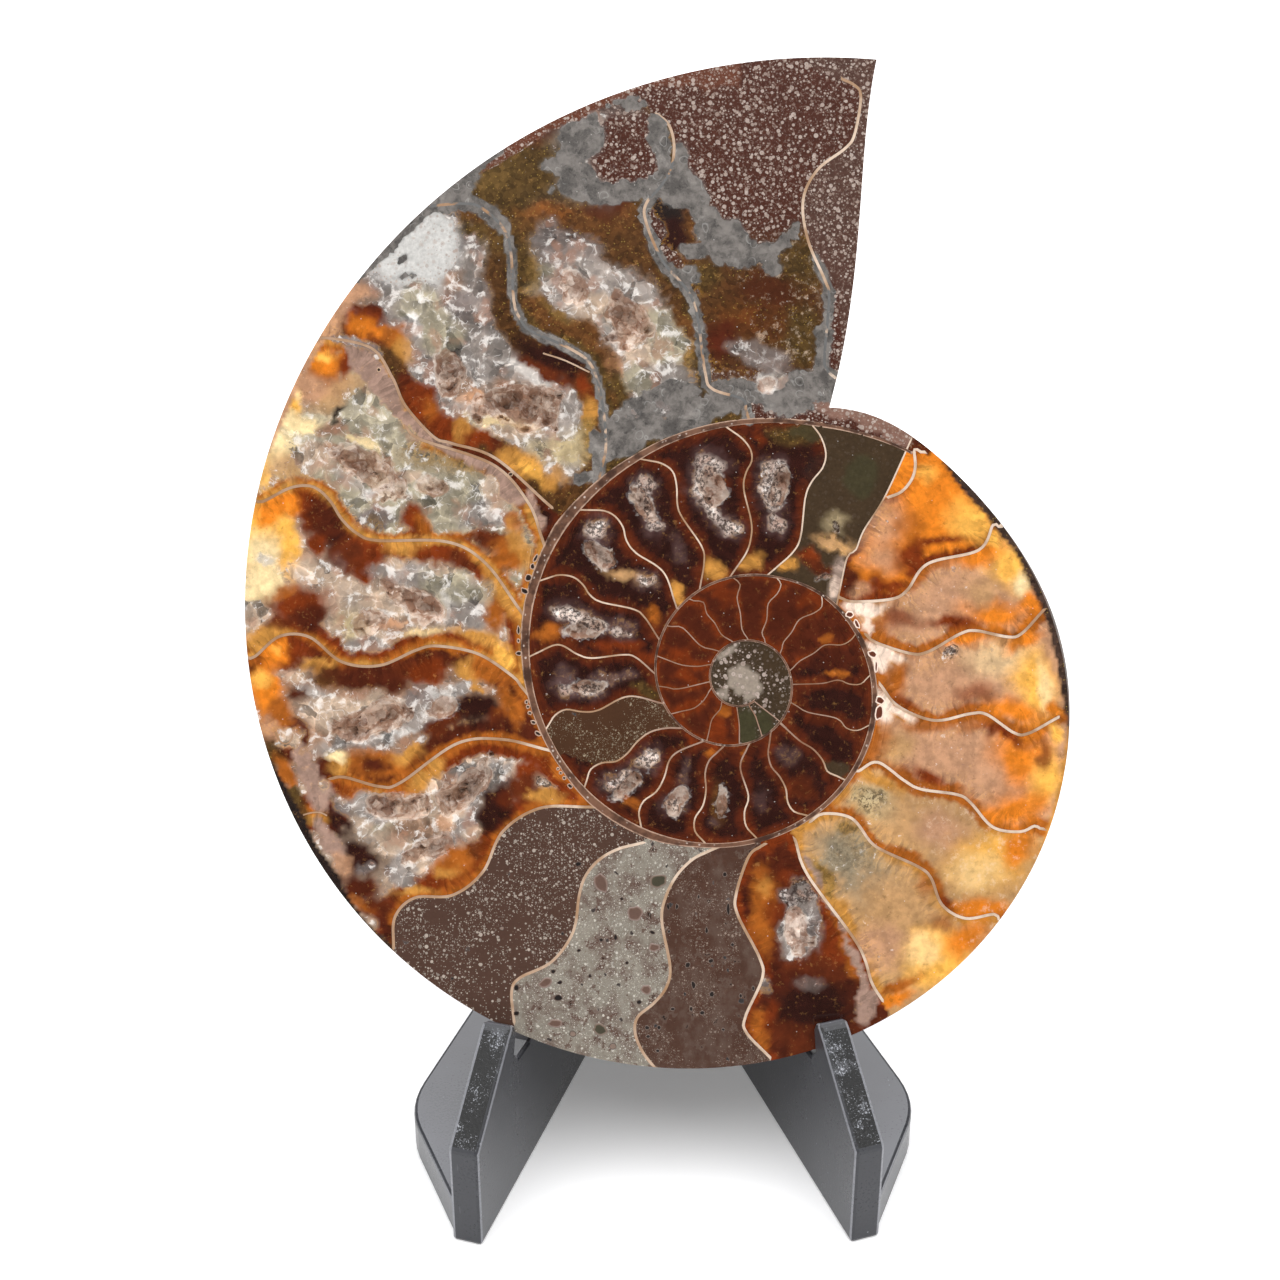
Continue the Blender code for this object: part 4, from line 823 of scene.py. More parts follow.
    ("blush", (17.2, 14.8, 2.4, 1.6, 0, 0.8)),
    ("rust", (21.2, 15.6, 2.4, 1.8, 30), (17.6, 11.6, 3.8, 1, 4)), ("mahogany", (13.6, 12.4, 1.2, 1.6)),
    ("blush", (15, 11.2, 1.4, 0.7, 0, 0.7)), ("orange", (24.6, 22.6, 4.2, 3.4)),
    ("gold", (28.6, 19.8, 2.2, 2.8, 40)), ("orange", (24.4, 27, 2.6, 1.6, -30), (30, 23.6, 1, 2.6, 40)),
    ("gold", (23.4, 25.6, 1.4, 1, 0, 0.7), (31.4, 17.8, 0.9, 1)), ("rust", (25, 17.4, 3.4, 0.8, 4)),
    ("amber", (20.6, 19.2, 2, 1.6, 0, 0.7)),
    # pale fillets of shell where the walls meet the spiral
    ("honey", (16.4, 8.9, 1.7, 1, 10, 0.8), (18.2, 3.4, 1.9, 0.9, -14, 0.8),
     (19.4, -3.9, 1.8, 0.8, -20, 0.8)),
    ("lip", (15.2, 9.1, 2.7, 0.85, -4, 1, 0.7), (15.4, 7.2, 0.55, 1.4, 12, 0.9, 0.6),
     (17.6, 3.8, 2.7, 0.8, -22, 1, 0.7), (17.3, 2.5, 0.9, 1.5, 0, 1, 0.6), (19, -3, 2.7, 0.7, -40, 1, 0.7),
     (17.8, -3.9, 1, 1.6, -20, 1, 0.6)),
    # the first inner whorl: frost in the middle of each chamber, gold where walls meet
    ("olive", (6.6, 30.6, 3, 1.3)),
    ("sugar", (4.2, 26.2, 1.36, 1.12), (4, 23, 1.2, 2.08), (4.8, 19.4, 0.96, 1.04),
     (-4, 27, 1.44, 0.88, 10), (-5.2, 24, 0.8, 1.92, -4), (-3.4, 21, 1.92, 0.88, -46),
     (-1.6, 19.4, 1.12, 0.64, -20), (-12.2, 24.2, 0.96, 1.04), (-12, 21.6, 0.56, 1.76, 10),
     (-10.9, 19, 1.04, 0.64, -30), (-18.2, 19.2, 0.96, 1.04)),
    ("honey", (5.8, 14.8, 1.3, 0.9), (0.9, 14.6, 1.5, 1), (-3.6, 13.8, 1.7, 1.3, -10),
     (-8, 10.8, 1.1, 1.6, 30)), ("rust", (1.8, 30.4, 1, 1, 0, 0.7)),
    ("chestnut", (-2.8, 24.4, 0.9, 1.6, 0, 0.8)),
    ("haze", (-8.2, 16.4, 0.8, 1.8, 10, 0.6), (-18, 16.2, 1.1, 1.8, 30)), ("tan", (-14.4, 13, 3, 0.7, -16)),
    ("sugar", (-11.8, 12.3, 0.72, 0.48), (-21.6, 8.2, 1.92, 0.72, -24), (-18.6, 6.8, 1.44, 0.56, -10)),
    ("haze", (-15.4, 6.6, 2, 1.2, 20), (-22, 0.6, 1.4, 1.3, 0, 0.8)),
    ("sugar", (-15.6, 5.8, 0.96, 0.4, -10, 0.8), (-19.4, -0.9, 1.6, 0.56), (-22.4, -0.6, 0.96, 0.4, -30),
     (-15.8, -12.6, 1.92, 0.88, 28), (-12, -9.8, 0.72, 1.6, -36)),
    ("amber", (-24.6, 6, 1.5, 0.9, 20), (-10.9, 7.8, 0.8, 1.4, 20), (-13.2, -15.4, 2.4, 0.7, -34, 0.7),
     (-4, -9, 0.8, 0.6), (0, -8.8, 0.7, 0.6)), ("chestnut", (-22, 4.9, 2, 0.7)),
    ("rust", (-15.4, 4.2, 3, 0.6, 0, 0.8), (-12.4, 2.8, 1.6, 0.6, -20, 0.8), (0.6, -18.4, 0.7, 1, 0, 0.8),
     (-6.4, -7.4, 0.8, 0.5)),
    ("haze", (-16, 0.4, 2.4, 0.8), (-16.8, -12.2, 1.2, 0.8, 0, 0.7), (-7.2, -11.4, 0.7, 1.8, -10, 0.7)),
    ("olive", (-12, -1.4, 1.6, 0.7, -20)), ("sugar", (-8.8, -15.6, 0.96, 0.72, 30)),
    ("chestnut", (-9.4, -13, 1.6, 1.6, 0, 0.6)), ("bronze", (-3, -15.4, 1, 2.4, 0, 0.8)),
    ("haze", (-3.6, -17.6, 0.7, 0.7, 0, 0.7), (5.8, -9.4, 1.4, 1.6, 0, 0.55),
     (2.6, -14.6, 0.9, 1.2, 0, 0.35)), ("chestnut", (7.6, -13.4, 1.6, 1.6, 0, 0.8)),
    ("oliveStone", (11.6, -11.6, 1.6, 1.2, 30)), ("garnet", (-21.8, -8, 1.2, 3.8, 24)),
    # the dark stone beside the golden chambers
    ("mossStone", (15, 25.4, 2.4, 2.6, 0, 0.8), (8.8, 31, 2.4, 1, 0, 0.7)),
    ("soot", (9.6, 26, 1.2, 2.6, -20, 0.7)), ("lemon", (11.6, 19.8, 1.8, 1.6, 0, 0.5)),
    ("tan", (11.4, 17.2, 2.4, 0.7, -24), (13.6, 16.4, 1, 0.8, 40)), ("rust", (8.4, 15.6, 1.2, 1.2)),
    ("chestnut", (9.8, 14, 2.2, 0.7, -20)), ("shell", (12, 12.4, 1, 2.6, -14)),
    ("lip", (11.6, 11.6, 0.5, 1.2, 0, 0.5)), ("ice", (10, 13, 1.2, 0.4, 20, 0.7)),
    ("smoke", (11.6, 18.8, 0.8, 0.8, 0, 0.7)),
    # innermost whorls
    ("mahogany", (12.2, 2.4, 2.6, 1.2, 0, 0.8)),
    ("amber", (12, 0.6, 1.2, 0.4), (10.4, 5.6, 1.2, 0.5, 20, 0.8)),
    ("rust", (-8.2, 3.4, 1.4, 1), (-7.4, 0.4, 1.4, 0.8), (-6.6, -3.4, 1.2, 0.9, 30), (-3.4, -6, 0.9, 1.2),
     (-2, 10.6, 1.4, 1.2, 0, 0.8), (8.8, 9.8, 1.4, 0.8, 30, 0.8)),
    ("mossStone", (0.8, -5.6, 1.6, 2.6, 0, 1, 0.3), (3, -5.2, 1.4, 1.8, 0, 1, 0.3)),
    ("oliveStone", (4.2, 2.6, 1.6, 2.4, 20, 0.8), (4.6, -2.6, 1.2, 1.4, 0, 0.6)),
    ("paleHeart", (-1.9, 3.4, 1.2, 0.6, 30), (-2.2, -2.2, 1.5, 0.7, -42),
     (-0.1, -0.6, 2.4, 2.4, 0, 1, 0.12)), ("amber", (-2.4, -3.8, 0.8, 0.9)),
)
# stone, shell or pyrite lining one chamber wall: from and to along it, mm, and how thick
sleeves = {
    "O0": (("pyrite", 26, 99, 0.45),),
    "O1": (("pyrite", 9, 14, 0.4), ("darkPyrite", 13, 30, 0.5), ("pyrite", 28, 99, 0.45)),
    "O2": (("pyrite", 0, 12, 0.7), ("pyrite", 11, 99, 0.35)),
    "O3": (("smoke", 2, 9, 0.4),),
}
# what lies just inside the rim: total angles, width, mineral
rimBands = (
    (-8, 47, 0.85, "darkShell"), (-283, -262, 2.6, "rustStone"), (-262, -240, 1.1, "rustStone"),
    (-246, -226, 0.9, "darkPyrite"), (-171, -149, 1.0, "soot"), (-149, -138, 0.5, "darkShell"),
    (-226, -206, 0.7, "blush"), (-30, -8, 0.4, "honey"),
)
# how gradually a patch gives way to what is round it, in its own half sizes
edges = {
    "crisp": 0.3, "frosted": 0.6, "clear": 0.95, "golden": 1.35,
    "spikes": 0.16, "softSpikes": 0.2,          # crystal tips along it, and the share left in clouds
    "hazeWidth": 0.7, "hazeShare": 0.6,         # round the frosted cores, mm
}


def linearColour(code):
    parts = [int(code[k:k + 2], 16) / 255 for k in (0, 2, 4)]
    return np.array([c / 12.92 if c <= 0.04045 else ((c + 0.055) / 1.055) ** 2.4 for c in parts])


def colour(code):
    return (*linearColour(code), 1)


def mineralRow(name):
    code, frost, stone, pyrite = minerals[name]
    return np.concatenate([linearColour(code), [frost, stone, pyrite]])


def lay(filled, name, weight):
    filled += (mineralRow(name) - filled) * weight[:, None]


def fillFace(flat, pointCell, cellAt, gap, arc, owner, off, at, names):
    # colour and kind of stone at every point of the face
    away = np.minimum(gap, np.abs(off) - halfSpiral(at))
    u, w = flat.T
    ragged = away + 0.5 * crags(u, w, 1.9, 60) * (1 + 0.12 * away) + 0.2 * softNoise(u, w, 0.45, 66)
    filled = np.zeros((len(flat), 6))
    fills = {cellAt(*spot): bands for spot, bands in chambers.values()}
    wound = windingAt(u, w)
    for own in np.unique(pointCell):
        inCell = pointCell == own
        beside = inCell & (away < 1.5)
        inner = beside.any() and at[beside].min() > otherChambers["innerFrom"]
        bands = fills.get(own, otherChambers["inner" if inner else "dark"])
        if np.median(wound[inCell]) > otherChambers["heartFrom"]:
            bands = otherChambers["heart"]
        value = np.tile(mineralRow(bands[0][0]), (inCell.sum(), 1))
        for (_, edge), (name, _) in zip(bands, bands[1:]):
            lay(value, name, ease((ragged[inCell] - edge) / (0.35 + 0.25 * edge) + 0.5))
        filled[inCell] = value
    wu = u + 0.85 * crags(u, w, 2.7, 70) + 0.22 * softNoise(u, w, 0.6, 76)
    ww = w + 0.85 * crags(u, w, 2.7, 80) + 0.22 * softNoise(u, w, 0.6, 86)
    spiky = softNoise(arc * 3.2, away, 1.5, 97) + 0.6 * softNoise(arc * 7, away * 1.2, 1.2, 98)

    def layPatch(name, cu, cw, ru, rw, tilt, share, soft):
        smooth = minerals[name][2] or minerals[name][3] or name in ("pearl", "lip")
        spikes = 0.0 if smooth else edges["spikes"]
        spikes *= edges["softSpikes"] if soft > 1.2 else 1
        reach = ellipseAt(wu, ww, cu, cw, ru, rw, tilt) + spikes * spiky
        lay(filled, name, share * ease((1 + soft / 2 - reach) / soft) * (pointCell == cellAt(cu, cw)))

    for name, *places in patches:
        _, frost, stone, pyrite = minerals[name]
        crisp = stone > 0.5 or pyrite or name in ("pearl", "lip")
        usual = edges["crisp" if crisp else "frosted" if frost > 0.5 else "clear"]
        for cu, cw, ru, rw, *rest in places:
            # clouds are softer in the golden chambers
            soft = edges["golden"] if cu > 13 and cu + cw / 3 > 14 and usual > 0.5 else usual
            tilt, share, soft = rest + [0, 1, soft][len(rest):]
            if name == "sugar":          # a haze round each frosted core
                wider = edges["hazeWidth"]
                layPatch("haze", cu, cw, ru + wider, rw + wider, tilt, edges["hazeShare"], 1)
            layPatch(name, cu, cw, ru, rw, tilt, share, soft)
    lap = np.degrees(np.arctan2(w, u))
    for start, end, width, name in rimBands:
        angle = lap - turnDegrees * (lap > 90) if start < -90 else lap
        inset = wallRadius(angle) + crustOn(angle) - np.hypot(u, w)
        reach = (angle > start) * (angle < end) * ease((angle - start) / 6) * ease((end - angle) / 6)
        width = width * (0.35 + 0.65 * reach) * (1 + 0.3 * crags(u, w, 2.0, 91))
        lay(filled, name, ease((width - inset) / 0.3 + 0.5) * (reach > 0))
    for wall, stretches in sleeves.items():
        for name, start, end, width in stretches:
            beside = (owner == names.index(wall)) & (arc > start) & (arc < end)
            grown = width * (1 + 0.45 * crags(u, w, 1.6, 95)) * ease((arc - start) / 2)
            lay(filled, name, ease((grown - gap) / 0.2 + 0.5) * beside)
    return filled, away


def toWorld(points):
    # from the plan of the face to metres
    c, s = math.cos(fossil["lean"]), math.sin(fossil["lean"])
    u, w, d = points.T * mm
    middle = fossil["firstChamber"]
    return np.stack([middle.x + u, middle.y + w * s + d * c, middle.z + w * c - d * s], 1)


def makeBack(rimIndex, rimCount, first):
    # the natural surface behind, wound in as a strip, and the mouth: more points, and their faces
    columns, rows = fossil["columns"], len(rowTurns)
    edge = rowTurns.index(fossil["innerEdge"])
    angles = (fossil["mouth"] + turnDegrees * np.arange(columns + 1) / columns)[:, None]
    turns = np.array(rowTurns)[None, :]
    outer = flankPoints(angles + 0 * turns, turns + 0 * angles).reshape(-1, 3)
    inner = flankPoints(angles + turnDegrees + 0 * turns[:, edge + 1:],
                        turns[:, edge + 1:] + 0 * angles).reshape(-1, 3)
    outerIndex = first + np.arange((columns + 1) * rows).reshape(columns + 1, rows)
    innerIndex = first + len(outer) + np.arange((columns + 1) * (rows - edge - 1)).reshape(columns + 1, -1)
    outerIndex[:, 0] = rimIndex[:rimCount]
    outerIndex[0, -1] = outerIndex[-1, edge]
    innerIndex = np.concatenate([outerIndex[:, -1:], innerIndex], 1)
    innerIndex[0] = outerIndex[-1, edge:]
    foot = np.concatenate([[outerIndex[0, 0]], rimIndex[rimCount:][::-1]]).tolist()
    shell = []
    for strip in (outerIndex, innerIndex):
        quads = np.stack([strip[:-1, :-1], strip[:-1, 1:], strip[1:, 1:], strip[1:, :-1]], -1)
        shell += quads.reshape(-1, 4).tolist()
    shell.append(innerIndex[:, -1].tolist() + innerIndex[-1, -2:0:-1].tolist())
    line, start = outerIndex[0].tolist(), outerIndex[-1].tolist()
    mouth = [(line[0], line[1], foot[1])]
    mouth += [(line[r], line[r + 1], foot[r + 1], foot[r]) for r in range(1, edge)]
    mouth.append(line[edge:] + start[edge - 1::-1] + [foot[edge]])
    return [outer, inner], shell, mouth


def newPiece(name, mesh):
    # outward faces, few-sided faces only, and into the scene
    solid = bmesh.new()
    solid.from_mesh(mesh)
    bmesh.ops.delete(solid, geom=[v for v in solid.verts if not v.link_faces], context="VERTS")
    bmesh.ops.triangulate(solid, faces=[f for f in solid.faces if len(f.verts) > 4])
    bmesh.ops.recalc_face_normals(solid, faces=solid.faces)
    solid.to_mesh(mesh)
    print(name, "triangles", sum(len(f.verts) - 2 for f in solid.faces),
          "open edges", sum(len(e.link_faces) != 2 for e in solid.edges))
    solid.free()
    piece = bpy.data.objects.new(name, mesh)
    scene.collection.objects.link(piece)
    return piece


def paint(mesh, name, values):
    layer = mesh.attributes.new(name, "FLOAT_COLOR", "POINT")
    layer.data.foreach_set("color", np.asarray(values, np.float32).ravel())


# finishes of the fossil in their order: the first three are chosen by what a triangle is
slots = {"calcite": 0, "wall": 1, "spiral": 2, "c8": 3, "c9": 4, "c10": 5, "m7": 6, "shell": 7, "mouth": 8}


def makeFossil():
    flat, triangles, rimIndex, lines, rimCount = makeFaceMesh()
    middle, isWall, isSpiral, cell, nearestWall = markFace(flat, triangles, lines)
    gap, arc, owner = nearestWall(flat)
    off, at = nearestSpiral(flat)
    free = np.nonzero(cell >= 0)[0]
    tree = treeOf(middle[free])

    def cellAt(u, w):
        return cell[free[tree.find((u, w, 0))[1]]]

    pointCell = np.full(len(flat), -1)
    for corner in range(3):
        pointCell[triangles[free, corner]] = cell[free]
    filled, away = fillFace(flat, pointCell, cellAt, gap, arc, owner, off, at, list(lines))
    depth, _ = hollowDepth(*flat.T)
    depth *= ease((away + 0.02) / 0.9)
    depth[rimIndex] = 0
    front = np.concatenate([flat, depth[:, None]], 1)
    back, shell, mouth = makeBack(rimIndex, rimCount, len(front))
    everyPoint = np.concatenate([front] + back)
    mesh = bpy.data.meshes.new("fossil")
    faces = triangles.tolist() + shell + mouth
    mesh.from_pydata(toWorld(everyPoint).tolist(), [], faces)

    material = np.full(len(faces), slots["shell"], np.int32)
    material[:len(triangles)] = slots["calcite"]
    onFront = material[:len(triangles)]
    for name in ("c8", "c9", "c10", "m7"):
        onFront[cell == cellAt(*chambers[name][0])] = slots[name]
    onFront[isWall] = slots["wall"]
    onFront[isSpiral] = slots["spiral"]
    material[-len(mouth):] = slots["mouth"]
    mesh.polygons.foreach_set("material_index", material)

    tint, kinds = np.zeros((2, len(everyPoint), 4), np.float32)
    tint[:len(flat)] = filled[:, :4]
    kinds[:len(flat), :2] = filled[:, 4:]
    kinds[:len(flat), 2] = ease((depth - 0.05) / 0.5)
    golden = 0.85 * ease((flat[:, 0] + flat[:, 1] / 3 - 12.5) / 5) * (off > 0) * (at < 330)
    kinds[:len(flat), 3] = np.maximum(golden, 0.6 * (windingAt(*flat.T) > 400))
    paint(mesh, "tint", tint)
    paint(mesh, "kinds", kinds)
    # along and away from the nearest wall, corner by corner so that nothing smears between two
    _, faceArc, faceOwner = nearestWall(middle)
    along = np.where(owner[triangles] != faceOwner[:, None], faceArc[:, None], arc[triangles])
    steady = (np.abs(off) - halfSpiral(at) < gap)[triangles].all(1)[:, None]
    spiralArc = np.radians(at) * np.linalg.norm(flat, axis=1)
    across = np.where(isWall[:, None], gap[triangles], away[triangles])
    fibre = np.zeros((sum(len(f) for f in faces), 2), np.float32)
    corners = len(triangles) * 3
    fibre[:corners, 0] = np.where(steady, spiralArc[triangles], along).ravel()
    fibre[:corners, 1] = np.where(isSpiral[:, None], (off / halfSpiral(at))[triangles], across).ravel()
    mesh.uv_layers.new(name="fibre").data.foreach_set("uv", fibre.ravel())
    return newPiece("fossil", mesh)


# Round things standing in the stone: middle colour, ring colour and how wide the ring is, mm.
spotSorts = {
    "tube": ("1f130f", "aa8d79", 0.12), "brownTube": ("5a2a18", "e6cfbe", 0.16),
    "pore": ("2a1a12", "b39478", 0.10), "pit": ("1f1815", "6a584e", 0.07),
    "hole": ("17110f", "4d392f", 0.08), "green": ("3f3b2d", "6d5c4f", 0.24),
    "brown": ("5f483e", "7a655b", 0.20), "bead": ("7d6a5e", "3a2923", 0.07),
}
# sort, then for each its centre u, w, half sizes and tilt in degrees
spots = (
    ("brownTube", (14.1, 8.55, 0.40, 0.26, -5), (14.8, 7.2, 0.18, 0.48, 20), (16.6, 3.3, 0.45, 0.28, -25),
     (17, 1.7, 0.10, 0.60), (17.5, -2.6, 0.46, 0.34, -30), (17.1, -4.1, 0.38, 0.72, -10)),
    ("tube", (-26, 15.6, 0.14, 0.42, -30), (-26.5, 14.6, 0.20, 0.28), (-27.1, 13.2, 0.32, 0.40),
     (-27.8, 11.6, 0.40, 0.24, -30), (-28.35, 6.5, 0.12, 0.45), (-28.45, 5.2, 0.12, 0.14),
     (-28.4, 3.6, 0.28, 0.20), (-27.5, -2.6, 0.12, 0.16), (-27.3, -3.2, 0.12, 0.14),
     (-27.1, -4, 0.16, 0.12), (-26.7, -5.2, 0.24, 0.15, -30), (-26, -6.6, 0.32, 0.14, -30),
     (-23.5, -11.1, 0.10, 0.10), (-23.1, -11.6, 0.10, 0.10), (-22.6, -12.2, 0.15, 0.12, -40),
     (-21.8, -13.2, 0.28, 0.18, -40)), ("pore", (-28.8, 25.9, 0.22, 0.20), (-45.2, 39, 0.18, 0.18)),
    # chamber 9
    ("green", (-10.6, -25, 0.85, 0.65, 10), (-18, -43.5, 0.65, 0.5, -20)),
    ("hole", (-23.2, -39.5, 0.45, 0.3)),
    ("brown", (-13.6, -29, 0.8, 0.7, 20), (-17.8, -25.2, 0.6, 1, 25), (-23.6, -42.7, 0.65, 0.35),
     (-11.2, -33.3, 0.5, 0.35), (-12.2, -38.6, 0.45, 0.4), (-24.8, -37.6, 0.7, 0.35, 30)),
    ("hole", (-28.4, -38.2, 0.24, 0.3), (-28.4, -41.4, 0.28, 0.2), (-23.8, -36.2, 0.22, 0.2),
     (-23, -37.6, 0.26, 0.18, 20), (-13.1, -40.1, 0.24, 0.2), (-16, -32, 0.16, 0.3),
     (-17.8, -32.3, 0.2, 0.16), (-11.4, -31.4, 0.3, 0.14, -20), (-14.6, -35.2, 0.16, 0.14),
     (-19.2, -36.8, 0.14, 0.18), (-20.6, -33.6, 0.2, 0.12, 30), (-9.4, -28.2, 0.12, 0.3, 10),
     (-15.2, -27.2, 0.14, 0.14)), ("bead", (-16.4, -45.6, 0.4, 0.3), (-21.4, -44, 0.35, 0.3)),
    # chamber 10
    ("pit", (-2.3, -24.2, 0.2, 0.26), (-8.3, -28.2, 0.16, 0.3), (-1.9, -28.5, 0.17, 0.7),
     (-9.3, -31.3, 0.16, 0.16), (-1.4, -33, 0.2, 0.16), (-4.1, -35, 0.28, 0.22, 20), (-7, -35.5, 0.26, 0.3),
     (-6.3, -38, 0.2, 0.42, 10), (-4, -39.2, 0.24, 0.3, -15), (-8.9, -41, 0.24, 0.16),
     (-6.6, -41, 0.18, 0.22), (-5.2, -41.5, 0.24, 0.2), (1.2, -38.5, 0.16, 0.26), (-0.4, -39.4, 0.16, 0.2),
     (-12.1, -43.3, 0.26, 0.22), (-10.6, -43.3, 0.2, 0.26), (-12, -44.4, 0.22, 0.18),
     (-10.8, -46.2, 0.2, 0.16), (-4.6, -31.2, 0.14, 0.34), (-5.6, -27, 0.12, 0.2),
     (-2.6, -43.6, 0.16, 0.14)),
    ("hole", (-20.6, -22.8, 0.3, 0.24, 20), (-22.6, -31.5, 0.16, 0.16), (-36.4, -37, 0.18, 0.14)),
    ("bead", (-30.2, -30.8, 0.24, 0.2)),
)
# rows of points across a spot from its middle out: share of its half sizes, ring widths and mm
# added to that, height, and whether the row has the ring's colour
spotRows = ((0.6, 0, 0, -0.012, False), (0.92, 0, 0, -0.012, False), (1.08, 0, 0, -0.016, True),
            (1.0, 1, 0, -0.014, True), (1.0, 1, 0.03, 0.06, True))
spotShape = {
    "around": 20,                      # points in each row
    "top": -0.012, "foot": 0.12,       # heights of the middle of a lens and of its underside
    "uneven": 0.20,                    # how far from an ellipse
    "beside": 0.30,                    # from the spiral wall to the tubes that follow it
}


def makeSpots():
    # each spot is a shallow lens let into the face: middle, edge of the middle, ring, rim, foot
    around = spotShape["around"]
    angles = np.radians(turnDegrees) * np.arange(around) / around
    points, tints, faces = [], [], []
    each = [(sort, *place) for sort, *places in spots for place in places]
    for number, (sort, cu, cw, ru, rw, *rest) in enumerate(each):
        inner, ring, width = spotSorts[sort]
        tilt = math.radians(rest[0] if rest else 0)
        if sort in ("tube", "brownTube"):        # these stand in a row along the spiral wall
            off, at = nearestSpiral(np.array([(cu, cw)]))
            out = float((halfSpiral(at) + spotShape["beside"] - off)[0]) / math.hypot(cu, cw)
            cu, cw = cu * (1 + out), cw * (1 + out)
        ripple = softNoise(np.cos(angles) * 2.2 + number * 3.1, np.sin(angles) * 2.2, 1.0, 31)
        bulge = 1 + spotShape["uneven"] * ripple
        c, s = math.cos(tilt), math.sin(tilt)
        first = len(points)
        points.append((cu, cw, spotShape["top"]))
        tints.append(inner)
        for share, rings, more, depth, inRing in spotRows:
            x = (ru * share + (width * rings + more)) * np.cos(angles) * bulge
            y = (rw * share + (width * rings + more)) * np.sin(angles) * bulge
            points += list(zip(cu + x * c - y * s, cw + x * s + y * c, np.full(around, depth)))
            tints += [ring if inRing else inner] * around
        points.append((cu, cw, spotShape["foot"]))
        tints.append(ring)
        last = len(spotRows) - 1
        for k in range(around):
            after = (k + 1) % around
            faces.append((first, first + 1 + k, first + 1 + after))
            for row in range(last):
                start = first + 1 + row * around
                faces.append((start + k, start + around + k, start + around + after, start + after))
            start = first + 1 + last * around
            faces.append((start + after, start + k, len(points) - 1))
    mesh = bpy.data.meshes.new("stone_spots")
    mesh.from_pydata(toWorld(np.array(points)).tolist(), [], faces)
    paint(mesh, "tint", [colour(code) for code in tints])
    piece = newPiece("stone_spots", mesh)
    mesh.shade_smooth()
    print("stone spots:", len(each))
    return piece


class Value:
    # a socket of a shader, so that sums on values read as plain Python
    def __init__(self, nodes, link):
        self.nodes, self.link = nodes, link

    def maths(self, operation, *others):
        return self.nodes.add("ShaderNodeMath", {"operation": operation},
                              dict(enumerate((self,) + others)))

    def also(self, output):
        # another output of the node that this value comes from
        return Value(self.nodes, self.link.node.outputs[output])

    def __add__(self, other):
        return self.maths("ADD", other)

    def __sub__(self, other):
        return self.maths("SUBTRACT", other)

    def __mul__(self, other):
        return self.maths("MULTIPLY", other)

    def __rsub__(self, other):
        return self.nodes.add("ShaderNodeMath", {"operation": "SUBTRACT"}, {0: other, 1: self})

    def __abs__(self):
        return self.maths("ABSOLUTE")

    __radd__ = __add__
    __rmul__ = __mul__


class Nodes:
    # the nodes of one material or of the room, and the few ways they are made
    def __init__(self, tree):
        self.tree = tree

    def add(self, kind, settings=None, sockets=None, output=0):
        node = self.tree.nodes.new(kind)
        for name, value in (settings or {}).items():
            if name == "stops":
                for _ in value[2:]:
                    node.color_ramp.elements.new(0.5)
                for element, (place, shade) in zip(node.color_ramp.elements, value):
                    element.position, element.color = place, shade
            else:
                setattr(node, name, value)
        for name, value in (sockets or {}).items():
            if isinstance(value, Value):
                self.tree.links.new(value.link, node.inputs[name])
            else:
                node.inputs[name].default_value = colour(value) if isinstance(value, str) else value
        return Value(self, node.outputs[output])

    def vector(self, operation, *values, output=0):
        return self.add("ShaderNodeVectorMath", {"operation": operation}, dict(enumerate(values)), output)

    def scale(self, vector, amount):
        vector = colour(vector)[:3] if isinstance(vector, str) else vector
        return self.add("ShaderNodeVectorMath", {"operation": "SCALE"}, {0: vector, "Scale": amount})

    def split(self, vector):
        first = self.add("ShaderNodeSeparateXYZ", None, {0: vector})
        return first, first.also(1), first.also(2)

    def noise(self, vector, size, detail=2, rough=0.5):
        return self.add("ShaderNodeTexNoise", None,
                        {"Vector": vector, "Scale": 1 / size, "Detail": detail, "Roughness": rough})

    def warped(self, vector, size, detail, amount):
        # the same place pushed about, for outlines that are nowhere straight
        warp = self.noise(vector, size, detail).also("Color")
        return self.vector("MULTIPLY_ADD", warp, (amount,) * 3, vector)

    def cells(self, vector, size, output="Distance", feature="F1"):
        return self.add("ShaderNodeTexVoronoi", {"feature": feature},
                        {"Vector": vector, "Scale": 1 / size}, output)

    def grains(self, vector, size):
        # how far the middle of the nearest grain is, and two fixed numbers of that grain
        reach = self.cells(vector, size)
        return (reach,) + self.split(reach.also("Color"))[:2]

    def between(self, value, low, high):
        # ease from 0 to 1 as the value goes from low to high
        return self.add("ShaderNodeMapRange", {"interpolation_type": "SMOOTHSTEP"},
                        {0: value, 1: low, 2: high})

    def mix(self, first, second, factor):
        return self.add("ShaderNodeMix", {"data_type": "RGBA"}, {0: factor, 6: first, 7: second}, 2)

    def ridge(self, value, at, wide, narrow):
        # a fine line where the value crosses one level
        return self.between(abs(value - at), wide, narrow)

    def specks(self, place, size, reach, share):
        # a few small specks: dust on the stand, painted sparkles on the calcite
        middle, own, _ = self.grains(place, size)
        return self.between(middle, *reach) * self.between(own, *share)

    def fromHeart(self, place):
        middle = tuple(c / mm for c in fossil["firstChamber"])
        return self.vector("DISTANCE", place, middle, output="Value")


